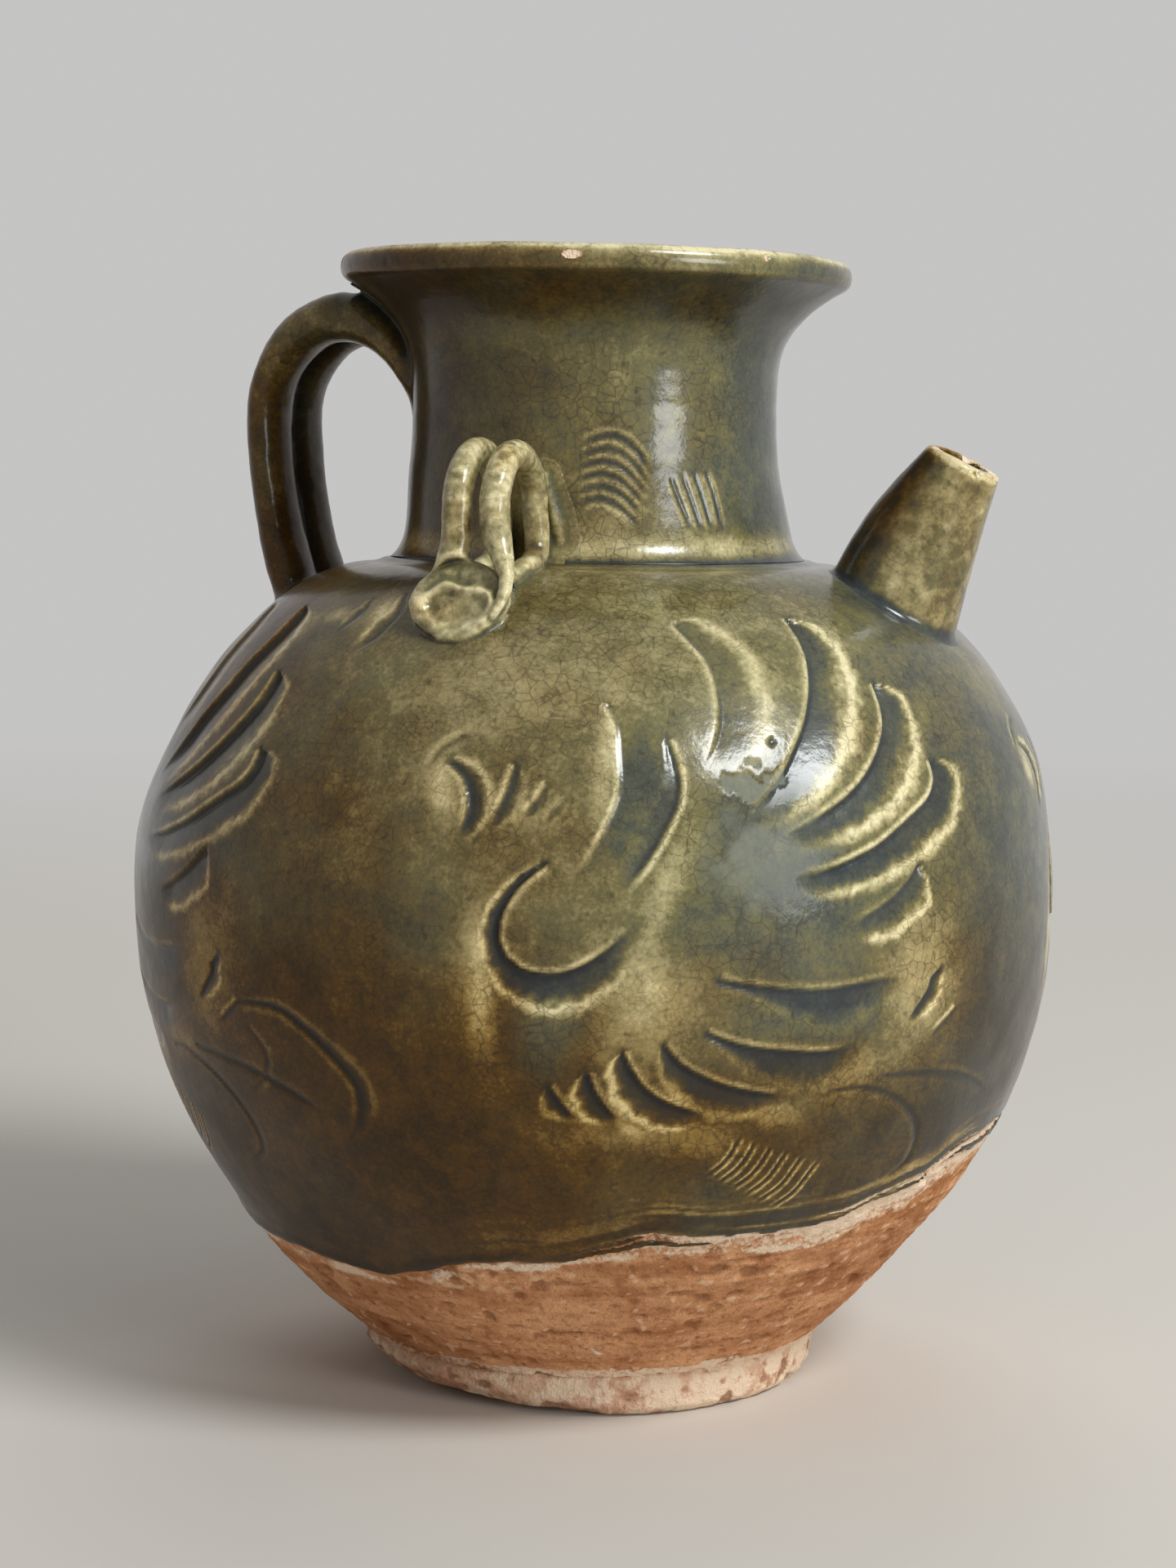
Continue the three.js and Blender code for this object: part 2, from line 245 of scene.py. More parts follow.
class Thrown:
    """A turned surface sampled on a grid of rows up its outline and columns around it."""

    def __init__(self, outline, columns):
        self.points, self.arc = resampled(outline, ROW_SPACING)
        self.radius, self.height = self.points[:, 0], self.points[:, 1]
        self.angle = columns_around(columns)
        slope = np.gradient(self.points, axis=0)
        slope /= np.linalg.norm(slope, axis=1)[:, None]
        self.out_radius, self.out_height = slope[:, 1], -slope[:, 0]
        self.shape = (len(self.arc), columns)
        self.climb = int(self.height.argmax()) + 1
        self.grid = self.placed(np.zeros(self.shape))

    def placed(self, lift):
        """Points of the grid in mm, lifted off the outline along its normal."""
        radius = self.radius[:, None] + self.out_radius[:, None] * lift
        height = self.height[:, None] + self.out_height[:, None] * lift
        return on_circle(radius, height, self.angle)


def on_circle(radius, height, angle):
    radius, height, a = np.broadcast_arrays(radius, height, np.radians(angle))
    return np.stack([radius * np.cos(a), radius * np.sin(a), height], axis=-1)


def angle_of(points):
    return np.degrees(np.arctan2(points[:, 1], points[:, 0]))


def radius_of(points):
    return np.hypot(points[..., 0], points[..., 1])


def columns_around(count):
    """One row with the angle of each of a count of columns."""
    return (np.arange(count) * 360 / count - 180)[None, :]


def seen_at(x, y):
    """Angle in degrees and height in mm of the outer skin that the camera sees at pixels x, y."""
    outline = outer_skin()
    across = (x - PICTURE_WIDTH / 2) / FOCAL_PIXELS
    rise = (PICTURE_HEIGHT / 2 - y) / FOCAL_PIXELS
    ray = FORWARD + across[:, None] * RIGHT + rise[:, None] * UP
    steps = np.linspace(CAMERA_DISTANCE - 110, CAMERA_DISTANCE + 20, 2600)
    points = EYE + steps[None, :, None] * ray[:, None, :]
    inside = radius_of(points) < np.interp(points[..., 2], outline[:, 1], outline[:, 0], left=0, right=0)
    first = inside.argmax(axis=1)
    if not inside.any(axis=1).all():
        raise ValueError("a stroke point misses the jug")
    hit = points[np.arange(len(x)), first]
    return angle_of(hit), hit[:, 2]


def smooth_path(points, spacing):
    """Rows of a Catmull-Rom curve through rows of points, about spacing apart."""
    points = np.asarray(points, float)
    padded = np.vstack([2 * points[0] - points[1], points, 2 * points[-1] - points[-2]])
    rows = []
    for i in range(1, len(padded) - 2):
        p0, p1, p2, p3 = padded[i - 1:i + 3]
        count = max(1, int(np.hypot(*(p2 - p1)[:2]) / spacing))
        for t in np.arange(count) / count:
            rows.append(0.5 * (2 * p1 + (p2 - p0) * t + (2 * p0 - 5 * p1 + 4 * p2 - p3) * t ** 2
                               + (3 * p1 - p0 - 3 * p2 + p3) * t ** 3))
    rows.append(points[-1])
    return np.array(rows)


class Cuts:
    """Maps over a thrown surface of what its carved strokes do: depth, pooled glaze and thin glaze."""

    def __init__(self, surface):
        self.surface = surface
        self.depth, self.pool, self.thin = np.zeros((3, *surface.shape))

    def window(self, path, reach):
        """The rows and columns of the grid that come within reach of a path."""
        s = self.surface
        (left, low), (right, high) = path[:, :2].min(axis=0), path[:, :2].max(axis=0)
        wide = np.degrees(reach / self.mean_radius)
        rows = (s.arc > low - reach) & (s.arc < high + reach)
        columns = (s.angle[0] > left / self.scale - wide) & (s.angle[0] < right / self.scale + wide)
        return np.ix_(rows, columns)

    def traced(self, points, spacing):
        """Rows of a smooth path in mm around and up the surface, through the picture's points (x, y, ...)."""
        s = self.surface
        points = np.array(points, float)
        angle, height = seen_at(points[:, 0], points[:, 1])
        arc = np.interp(height, s.height[:s.climb], s.arc[:s.climb])
        self.mean_radius = np.interp(arc.mean(), s.arc, s.radius)
        self.scale = np.radians(1) * self.mean_radius
        return smooth_path(np.column_stack([angle * self.scale, arc, points[:, 2:]]), spacing)

    def nearest(self, path, window):
        """For the window's points: signed distance to the path in mm, and how far along it, from 0 to 1."""
        s = self.surface
        gx, gy = (layer[window] for layer in np.broadcast_arrays(s.angle * self.scale, s.arc[:, None]))
        best, side, along = np.full(gx.shape, np.inf), np.ones(gx.shape), np.zeros(gx.shape)
        last = len(path) - 1
        for i in range(last):
            (ax, ay), (bx, by) = path[i, :2], path[i + 1, :2]
            dx, dy = bx - ax, by - ay
            k = unit(((gx - ax) * dx + (gy - ay) * dy) / (dx * dx + dy * dy))
            ox, oy = gx - ax - k * dx, gy - ay - k * dy
            d = ox * ox + oy * oy
            near = d < best
            best = np.where(near, d, best)
            side = np.where(near, np.sign(dx * oy - dy * ox), side)
            along = np.where(near, (i + k) / last, along)
        return np.sqrt(best) * side, along

    def stroke(self, points, side, depth, far, lip, pool):
        """A cut with one steep wall along points (x, y, width in mm) and a slope up to the width on one side.

        side is 1 for a slope on the left-hand side of the way drawn, as seen with y upwards, and -1 for the
        other. far and lip are how thin the glaze gets at the slope's far edge and above the steep wall.
        """
        path = self.traced(points, 1.6)
        window = self.window(path, path[:, 2].max() + 2.5)
        distance, along = self.nearest(path, window)
        distance = distance * side
        distance = np.where(along <= 0, np.abs(distance), distance)
        width = np.interp(along, np.linspace(0, 1, len(path)), path[:, 2])
        length = np.linalg.norm(np.diff(path[:, :2], axis=0), axis=1).sum()
        opening = unit(along * length / (0.6 * path[0, 2]))
        width = width * np.sqrt(1 - (1 - opening) ** 2)
        body = 1 - smoothstep(0.72, 1.0, along)
        u = np.clip(distance / np.maximum(width, 0.3), 0, 2)
        steep = smoothstep(-0.45, 0.35, distance)
        cut = depth * body * steep * (1 - unit(u)) ** 1.15
        place = self.surface.grid[window]
        ragged = 0.09 * noise(place, 1.8, 72) + 0.13 * noise(place, 0.9, 73)
        flat = 0.5 * hill(distance, 0.8) + 0.5 * (1 - smoothstep(0.35, 0.85, u + ragged))
        dark = pool * body * smoothstep(-0.35, 0.25, distance) * flat
        edge = far * body * hill(distance - (0.9 - 0.6 * ragged) * width, 0.4 + 0.14 * width)
        wall = lip * body * hill(distance + 0.8, 0.5 + 0.6 * np.abs(ragged))
        self.deepen(window, cut, dark, np.maximum(edge, wall))

    def groove(self, points, width, depth, ridge):
        """A narrow comb or knife line through points (x, y), with thin glaze beside it."""
        path = self.traced(points, 1.2)
        window = self.window(path, 2.5 * width + 1)
        distance, along = self.nearest(path, window)
        distance = np.abs(distance)
        body = smoothstep(0, 0.15, along) * (1 - smoothstep(0.8, 1, along))
        shape = body * hill(distance, 0.5 * width)
        edge = ridge * body * hill(distance - 1.1 * width, 0.5 * width)
        self.deepen(window, depth * shape, 0.6 * shape, edge)

    def deepen(self, window, *layers):
        """Take the stronger of what is there and new layers of depth, pool and thin glaze."""
        for old, new in zip((self.depth, self.pool, self.thin), layers):
            old[window] = np.maximum(old[window], new)

    def repeated(self, turns):
        """Depth, pool and thin glaze, repeated around the jug at turns in degrees."""
        return [repeated(layer, turns) for layer in (self.depth, self.pool, self.thin)]


def repeated(layer, turns):
    steps = [round(turn / 360 * layer.shape[1]) for turn in turns]
    return np.max([np.roll(layer, step, axis=1) for step in steps], axis=0)


def patch(points, x, y, wide, high, lean=0.0):
    """A soft oval weight, from 0 to 1, around pixels (x, y) on the side that the camera sees."""
    px, py = to_picture(points)
    a = math.radians(lean)
    dx, dy = px - x, py - y
    u = (dx * math.cos(a) + dy * math.sin(a)) / wide
    v = (dy * math.cos(a) - dx * math.sin(a)) / high
    facing = ((EYE - points)[..., :2] * points[..., :2]).sum(axis=-1) > 0
    return np.exp(-(u * u + v * v) ** 1.2) * facing


# The carved ornament: strokes as they are seen in the picture, with widths in mm

FAN = [
    # points (x, y, width), side, depth, far edge, lip, pool
    ([(823, 764, 5.2), (843, 786, 6.6), (860, 804, 7.6), (872, 828, 8.0), (879, 856, 8.0), (880, 886, 7.4),
      (872, 918, 6.0), (858, 948, 4.0)], 1, 0.6, 0.65, 0.6, 0.4),
    ([(960, 758, 5.6), (974, 780, 7.2), (984, 804, 8.2), (988, 830, 8.4), (988, 858, 8.2), (983, 886, 8.0),
      (972, 916, 7.6), (959, 945, 6.6), (940, 974, 5.2), (914, 1002, 3.0)], 1, 1.15, 1.0, 0.6, 1.1),
    ([(1063, 838, 5.2), (1072, 860, 6.6), (1077, 885, 7.6), (1074, 908, 7.8), (1066, 931, 7.6),
      (1051, 957, 7.0), (1031, 979, 6.2), (1006, 998, 5.0), (980, 1015, 3.6),
      (950, 1028, 1.6)], 1, 1.1, 0.95, 0.8, 1.1),
    ([(1131, 929, 5.0), (1138, 953, 6.4), (1133, 977, 6.9), (1117, 996, 6.8), (1098, 1015, 6.4),
      (1073, 1037, 5.8), (1048, 1051, 5.0), (1020, 1064, 4.2), (990, 1073, 3.2),
      (960, 1079, 1.4)], 1, 1.05, 0.85, 0.9, 1.1),
    ([(1124, 1058, 4.8), (1114, 1076, 5.8), (1101, 1092, 5.8), (1083, 1108, 5.4), (1062, 1122, 4.4),
      (1036, 1136, 2.4)], 1, 0.75, 0.95, 0.35, 0.7),
    ([(881, 1201, 0.8), (925, 1208, 2.0), (977, 1213, 5.0), (1020, 1211, 6.8), (1062, 1203, 6.0),
      (1108, 1192, 2.4)], -1, 0.32, 0.2, 0.45, 1.3),
    ([(866, 1266, 0.6), (895, 1277, 2.0), (925, 1284, 4.4), (970, 1288, 6.2), (1011, 1288, 6.2),
      (1050, 1278, 3.4)], -1, 0.55, 0.25, 0.6, 1.4),
    ([(813, 1281, 1.2), (833, 1304, 4.0), (861, 1320, 5.4), (890, 1331, 5.6), (929, 1339, 4.0),
      (968, 1342, 1.2)], -1, 0.85, 0.6, 0.7, 1.3),
    ([(762, 1289, 1.4), (769, 1306, 3.6), (782, 1326, 4.8), (802, 1344, 5.2), (828, 1356, 4.4),
      (868, 1367, 1.4)], -1, 0.85, 1.0, 0.8, 1.2),
    ([(719, 1314, 1.4), (726, 1334, 3.4), (739, 1354, 4.0), (757, 1374, 1.0)], -1, 0.8, 0.85, 0.75, 1.3),
    ([(672, 1331, 1.4), (685, 1350, 3.0), (702, 1369, 0.8)], -1, 0.65, 0.7, 0.7, 1.2),
]

SCROLL = [
    ([(742, 862, 2.4), (755, 889, 5.6), (758, 918, 7.6), (760, 950, 8.4), (759, 977, 8.4), (750, 1000, 7.6),
      (738, 1026, 6.4), (722, 1056, 4.6), (704, 1086, 2.0)], 1, 0.42, 0.0, 0.95, 0.35),
    ([(817, 908, 0.6), (824, 926, 1.6), (830, 946, 2.8), (832, 967, 3.6), (828, 988, 4.2), (816, 1013, 4.6),
      (799, 1044, 4.4), (783, 1067, 3.6), (756, 1096, 1.6)], -1, 0.6, 0.0, 0.9, 0.75),
    ([(668, 1058, 0.6), (641, 1078, 1.2), (622, 1102, 1.9), (611, 1127, 2.5), (610, 1153, 3.0),
      (618, 1172, 3.8), (635, 1186, 4.8), (662, 1194, 5.8), (691, 1192, 6.2), (719, 1181, 5.8),
      (747, 1161, 4.6), (770, 1139, 3.2), (790, 1118, 1.0)], -1, 1.15, 0.95, 0.75, 1.4),
    ([(549, 935, 1.2), (566, 951, 3.0), (573, 971, 3.8), (573, 993, 3.5), (567, 1012, 2.6),
      (556, 1034, 1.0)], 1, 0.85, 0.9, 0.85, 1.0),
    ([(525, 938, 0.6), (542, 914, 1.3), (562, 903, 1.4), (584, 896, 0.6)], -1, 0.3, 0.2, 0.55, 0.3),
    ([(632, 938, 0.8), (623, 964, 2.8), (612, 990, 2.8), (597, 1018, 0.8)], 1, 0.5, 0.5, 0.95, 0.7),
    ([(671, 961, 0.8), (658, 981, 2.0), (640, 1002, 0.8)], 1, 0.35, 0.3, 0.8, 0.5),
    ([(693, 980, 0.6), (677, 994, 1.4), (668, 1011, 0.6)], 1, 0.2, 0.2, 0.35, 0.3),
]

LEAF = [
    ([(1014, 1338, 0.6), (1050, 1333, 1.2), (1090, 1343, 1.6), (1113, 1365, 1.8), (1117, 1392, 1.8),
      (1105, 1420, 1.6), (1078, 1440, 1.2), (1056, 1452, 0.5)], 1, 0.35, 0.15, 0.25, 0.6),
    ([(1080, 1316, 0.6), (1120, 1311, 1.5), (1160, 1311, 1.8), (1190, 1320, 1.8),
      (1206, 1336, 1.2)], -1, 0.35, 0.1, 0.25, 0.7),
    ([(1151, 1185, 1.6), (1140, 1197, 3.0), (1136, 1212, 3.4), (1127, 1226, 2.6),
      (1108, 1252, 0.8)], 1, 0.6, 0.95, 0.55, 1.2),
    ([(1168, 1234, 0.6), (1154, 1250, 1.4), (1138, 1267, 0.6)], 1, 0.3, 0.0, 0.9, 0.6),
]

SIDE_SWIRL = [
    ([(294, 1226, 0.5), (339, 1235, 1.4), (374, 1261, 1.9), (410, 1297, 2.6), (436, 1332, 3.2),
      (440, 1366, 2.6), (428, 1396, 0.8)], 1, 0.6, 0.45, 0.45, 0.9),
    ([(308, 1258, 0.5), (328, 1285, 1.2), (330, 1315, 1.4), (312, 1338, 0.6)], -1, 0.25, 0.2, 0.3, 0.5),
]

SHOULDER_TOUCHES = [
    ([(456, 736, 1.2), (449, 747, 2.2), (434, 759, 2.6), (409, 777, 1.0)], -1, 0.3, 0.6, 0.0, 0.5),
    ([(499, 729, 1.4), (492, 750, 3.0), (475, 768, 3.8), (457, 784, 3.2),
      (424, 804, 1.4)], -1, 0.4, 0.9, 0.0, 0.6),
]

BODY_COMB = [
    [(904 + 20 * i, 1390 + 5 * i), (898 + 18 * i, 1406 + 6 * i), (884 + 17 * i, 1424 + 7 * i),
     (862 + 15 * i, 1440 + 8 * i)]
    for i in range(6)
]

NECK_COMB_LEFT = [
    [(709 + 1.5 * i, 620 - 14 * i), (724 + i, 612 - 14.5 * i), (742 + 1.5 * i, 611 - 15.5 * i),
     (757 + 2 * i, 618 - 16.3 * i), (771 + 3 * i, 630 - 15.5 * i), (784 + 3.5 * i, 647 - 13 * i)]
    for i in range(6)
]

NECK_COMB_RIGHT = [
    [(826 + 14 * i, 582 - 3 * i), (834 + 14 * i, 610 - 3 * i), (842 + 13 * i, 636 - 2 * i),
     (848 + 12 * i, 652)]
    for i in range(4)
]

# The motif is carved four times around the jug. The camera sees the first and the edge of the second.
MOTIF_TURNS = (0.0, -92.0, 88.0, 178.0)
NECK_COMB_TURNS = (0.0, 100.0, 180.0)


# Soft ovals of thin, pale glaze, and of grey glaze that is partly a painted grey-blue sheen: weight, then x,
# y, width, height and lean in the picture
PALE_GROUNDS = [
    (0.74, 790, 1225, 60, 82, -24), (1.1, 588, 1205, 20, 88, -3), (0.3, 600, 840, 110, 55),
    (0.9, 822, 1080, 22, 95, 22), (0.9, 541, 968, 18, 42, -12), (0.8, 1020, 845, 20, 75, -6),
    (0.7, 1095, 935, 18, 62, 18), (0.7, 948, 1362, 34, 20), (0.6, 1040, 1320, 60, 30, -25),
    (0.75, 1128, 1205, 44, 100, 10), (0.55, 800, 1392, 120, 26), (0.75, 742, 940, 14, 88, 6),
    (0.9, 776, 1384, 26, 14, 20),
]
GREY_GLAZE_AND_SHEEN_GROUNDS = [
    (1.0, 925, 1070, 150, 118, -8), (0.95, 786, 970, 32, 105, 14), (0.8, 985, 1240, 100, 36),
    (0.9, 672, 1255, 42, 62, 12),
]
PALE_TOUCHES = [(0.8, 411, 755, 19, 7, -20), (0.9, 467, 751, 28, 12, -50)]
# Single marks, by x, y, width, height and lean in the picture
WALL_CHIP = (918, 962, 40, 20, -8)
# A duller patch of glaze on the belly, painted paler as a soft grey sheen
WALL_DULLING_AND_SHEEN = (935, 1045, 122, 92, -8)
WALL_PINHOLE = (943, 908, 4.5, 4.5)
WALL_BROWNING = (350, 1330, 190, 170)
FOOT_SMEAR = (728, 1655, 18, 2.6, 25)
LIP_CHIP = (706, 311, 15, 7)


def ovals(points, grounds):
    """The strongest of several soft ovals at each point."""
    return np.max([weight * patch(points, *oval) for weight, *oval in grounds], axis=0)


# Meshes

def grid_faces(rows, columns, closed):
    i = np.arange(rows if closed else rows - 1)[:, None]
    j = np.arange(columns)[None, :]
    above, beside = (i + 1) % rows, (j + 1) % columns
    corners = (i * columns + j, i * columns + beside, above * columns + beside, above * columns + j)
    return np.stack(np.broadcast_arrays(*corners), axis=-1).reshape(-1, 4)


def grid_normals(grid):
    """Outward normals of a grid of rows and columns that closes around."""
    up = np.gradient(grid, axis=0)
    around_it = np.roll(grid, -1, axis=1) - np.roll(grid, 1, axis=1)
    normal = np.cross(around_it, up)
    return normal / np.maximum(np.linalg.norm(normal, axis=-1, keepdims=True), 1e-9)


def new_object(name, data):
    thing = bpy.data.objects.new(name, data)
    bpy.context.scene.collection.objects.link(thing)
    return thing


MAPS = ("tone", "bare", "slip", "warm", "worn")


def make_piece(name, points, faces, material, nodes, maps, normals=None, fill=False):
    """A mesh in metres from points in mm, with its maps, riding on the root body in place of CAD nodes."""
    mesh = bpy.data.meshes.new(name)
    mesh.from_pydata((points * MM).tolist(), [], [f for group in faces for f in group.tolist()])
    for key in MAPS:
        layer = mesh.attributes.new(key, "FLOAT", "POINT")
        values = np.broadcast_to(np.ravel(maps.get(key, 0.0)), len(points))
        layer.data.foreach_set("value", values.astype(np.float32))
    if fill:
        cap_holes(mesh)
    mesh.shade_smooth()
    if normals is not None:
        mesh.normals_split_custom_set_from_vertices(normals.tolist())
    mesh.materials.append(material)
    piece = new_object(name, mesh)
    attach(piece, "root")
    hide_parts(*nodes)
    return piece


def cap_holes(mesh):
    bm = bmesh.new()
    bm.from_mesh(mesh)
    bmesh.ops.holes_fill(bm, edges=[e for e in bm.edges if e.is_boundary], sides=0)
    bm.to_mesh(mesh)
    bm.free()


# The body

GLAZE_THICKNESS = 0.4


def glaze_line(angle):
    """Height at which the glaze ends, by the angle around the jug."""
    return around(
        angle, (-150, 29.0), (-104, 27.9), (-79, 32.8), (-57, 36.5), (-37, 36.8), (-20, 40.8), (-10, 45.2),
        (15, 47.0), (60, 43.0), (110, 36.0), (160, 31.0),
    )


def leaning(height, angle):
    """How far the thrown wall bulges towards the spout's side or draws in, in mm."""
    high = 1.5 * smoothstep(94, 114, height) * (1 - smoothstep(130, 141, height))
    low = 0.9 * smoothstep(9, 20, height) * (1 - smoothstep(24, 36, height))
    return (high - low) * np.cos(np.radians(angle - VIEW_AZIMUTH))


def unevenness(points):
    """The slow waves and throwing rings of a hand-thrown wall, in mm."""
    rings = noise(points, (400, 400, 5.5), 11)
    return 0.28 * noise(points, 48, 12) + 0.12 * noise(points, 17, 13) + 0.07 * rings


def warmth(points, angle):
    """From green, 0, to brown, 1: browner away from the side near 12 degrees and towards the bottom, where
    the brown is partly the glaze's colour and partly a painted warm bounce of light.
    """
    side = np.cos(np.radians(angle - 12))
    # Towards the bottom: browner glaze and a painted warm bounce of light
    low = (95 - points[..., 2]) / 95 + 0.7 * smoothstep(88, 50, points[..., 2])
    drift = 0.14 * noise(points, 42, 21) + 0.08 * noise(points, 13, 22)
    flank = around(angle, (-60, 0.0), (-12, 0.24), (60, 0.15), (130, 0.0))
    return unit(0.48 - 0.42 * side + 0.34 * low + flank + drift)


def ground_tone_and_shade(points, angle):
    """The glaze's tone where nothing is carved, with painted shade that makes it darker towards both edges of
    the side the camera sees, and darker towards the bottom.
    """
    # Painted shade: lightest where the jug faces the camera, darker towards both edges of that side
    flank_shade = around(
        angle, (-170, 0.15), (-130, 0.11), (-95, 0.01), (-69, -0.04), (-38, 0.03), (-8, 0.25), (45, 0.18),
        (115, 0.05),
    )
    low = 0.06 * smoothstep(118, 80, points[..., 2]) + 0.07 * smoothstep(82, 45, points[..., 2])
    return 0.46 + flank_shade + low + 0.05 * noise(points, 9, 45)


def carving(s):
    """Depth, pooled and thin glaze of the body's strokes, and its broad pale and grey grounds."""
    motif, single = Cuts(s), Cuts(s)
    for stroke in FAN + SCROLL + LEAF:
        motif.stroke(*stroke)
    for line in BODY_COMB:
        motif.groove(line, 0.55, 0.28, 1.0)
    for stroke in SIDE_SWIRL + SHOULDER_TOUCHES:
        single.stroke(*stroke)
    depth, pool, thin = np.maximum(motif.repeated(MOTIF_TURNS), single.repeated([0]))
    # The grey ovals are grey glaze and partly a painted grey-blue sheen
    pale, grey = (repeated(ovals(s.grid, grounds), MOTIF_TURNS) for grounds in (PALE_GROUNDS, GREY_GLAZE_AND_SHEEN_GROUNDS))
    return depth, pool, thin, np.maximum(pale, ovals(s.grid, PALE_TOUCHES)), grey


def body_surface():
    """The body's outer grid in mm, its normals and its maps."""
    s = Thrown(body_outline(), BODY_COLUMNS)
    depth, pool, thin, pale, grey = carving(s)
    p, angle, height = s.grid, s.angle, s.height[:, None]
    streaky = around(angle, (-95, 0.0), (-72, 0.35), (-50, 0.9), (-20, 1.0), (30, 0.8), (80, 0.1), (180, 0.1))
    line = glaze_line(angle) + 0.9 * noise(p, (15, 15, 60), 33) + 0.4 * noise(p, (4, 4, 30), 34)
    brushing = np.concatenate([p[..., :2], (height - line)[..., None]], axis=-1)
    streak = noise(brushing, (24, 24, 1.15), 31) + 0.7 * noise(brushing, (12, 12, 0.65), 32)
    above = height - line - streaky * (1.9 + 4.2 * streak)
    bare = 1 - smoothstep(-0.3, 0.4, above)
    edge_roll = hill(above - 1.0, 0.9) * (1 - streaky)
    bristles = smoothstep(-0.15, 0.35, streak)
    brushed = streaky * hill(height - line - 3.8, 4.2) * bristles
    slip = hill(height - line + 1.3, 1.3) * smoothstep(-0.6, 0.5, noise(p, (7, 7, 1.6), 35))
    band = around(angle, (-60, -3.0), (-22, -5.0), (20, -5.0), (90, -3.0)) + 0.8 * noise(p, (6, 6, 2), 48)
    slip = np.maximum(slip, streaky * smoothstep(band, band + 2.2, height - line) * (0.6 + 0.4 * bristles))
    slip = np.maximum(slip, 0.9 * patch(p, *FOOT_SMEAR))
    foot_wash = around(angle, (-150, 0.35), (-110, 0.6), (-80, 0.85), (-50, 1.0), (0, 1.0), (120, 0.7))
    foot_wash = foot_wash * (1 - smoothstep(8.6, 9.8, height + 0.5 * noise(p, (5, 5, 60), 37)))
    slip = np.maximum(slip, foot_wash * (0.85 + 0.4 * noise(p, 3.5, 38)))
    neck_line = s.arc[-1] - s.arc[:, None]
    trough = streaky * hill(height - line - 3.8, 3.6) * smoothstep(0.0, -0.4, streak)
    for layer in (hill(neck_line, 1.5), 0.45 * trough, 0.35 * edge_roll):
        pool = np.maximum(pool, layer)
    thin = np.maximum(thin, 0.95 * brushed)
    chip = patch(p, *WALL_CHIP)
    chip = smoothstep(0.35, 0.6, chip + 0.5 * noise(p, 2.6, 39) + 0.3 * noise(p, 1.1, 36)) * (chip > 0.03)
    # Duller glaze, whose paler grey colour is a painted soft sheen
    dull = patch(p, *WALL_DULLING_AND_SHEEN) * (0.85 + 0.3 * noise(p, 2.4, 40))
    worn = unit(0.8 * np.maximum(chip, dull))
    pinhole = patch(p, *WALL_PINHOLE)
    pits = smoothstep(0.3, 0.7, noise(p, (3.4, 3.4, 1.2), 41))
    pits += 0.7 * smoothstep(0.25, 0.7, noise(p, (1.6, 1.6, 0.9), 42))
    flecks = smoothstep(0.5, 0.75, noise(p, (1.5, 1.5, 0.9), 47))
    scrapes = 0.16 * noise(p, (30, 30, 1.1), 43) + 0.07 * noise(p, 0.9, 44)
    lift = unevenness(p) + GLAZE_THICKNESS * (1 - bare) * (1 + 0.5 * edge_roll) - 0.9 * depth
    lift += bare * (scrapes - 0.5 * pits + 0.12 * flecks) - 0.3 * pinhole - 0.12 * chip
    lift *= smoothstep(0, 0.8, neck_line)
    grid = s.placed(lift)
    grid += on_circle(leaning(height, angle), 0.0, angle)
    light = np.clip(np.maximum(thin, 0.85 * pale * (1 - 0.5 * unit(grey))), 0, 0.96)
    pool = unit(pool)
    ground = ground_tone_and_shade(p, angle)
    tone = ground + (1 - ground) * pool + 0.2 * grey * (1 - light) - 1.04 * ground * light * (1 - pool)
    # On bare clay: darker in the pits, a painted shade, and lighter on the scrapes and flecks
    tone += bare * (0.5 + 0.35 * pits - 0.35 * smoothstep(0.05, 0.18, scrapes) - 0.4 * flecks - tone)
    maps = {
        "tone": unit(tone + 0.5 * pinhole),
        "bare": bare,
        "slip": unit(slip),
        "warm": unit(warmth(p, angle) - 0.5 * grey + 0.25 * patch(p, *WALL_BROWNING)),
        "worn": worn,
    }
    return s, grid, grid_normals(grid), maps


UNSEEN = {"tone": 0.5, "bare": 0.0, "slip": 0.0, "warm": 0.6, "worn": 0.0}
UNGLAZED = {"tone": 0.5, "bare": 1.0, "slip": 0.1, "warm": 0.5, "worn": 0.0}


def with_rows(maps, rows, values, first=False):
    """Maps with one value each for more rows of the grid, after the others or before them."""
    more = {key: np.full(rows.shape[:2], value) for key, value in values.items()}
    return {key: np.concatenate([more[key], maps[key]] if first else [maps[key], more[key]]) for key in maps}


def shell(name, outer, inner, normals, maps, material, nodes, poles=()):
    """A closed piece of outer rows going up and inner rows coming back down, or ending at two poles."""
    rows = np.concatenate([outer, inner])
    count, columns = rows.shape[:2]
    points = rows.reshape(-1, 3)
    faces = [grid_faces(count, columns, closed=not poles)]
    normals = np.concatenate([normals, grid_normals(inner)]).reshape(-1, 3)
    maps = with_rows(maps, inner, UNSEEN)
    if poles:
        ring = np.arange(columns)
        ahead = np.roll(ring, -1)
        first, last, top = len(points), len(points) + 1, (count - 1) * columns
        faces.append(np.stack([ahead, ring, np.full(columns, first)], axis=1))
        faces.append(np.stack([top + ring, top + ahead, np.full(columns, last)], axis=1))
        points = np.vstack([points, poles])
        normals = np.vstack([normals, [[0, 0, -1], [0, 0, 1]]])
        maps = {key: np.append(layer, [layer[0, 0], layer[-1, -1]]) for key, layer in maps.items()}
    return make_piece(name, points, faces, material, nodes, maps, normals)


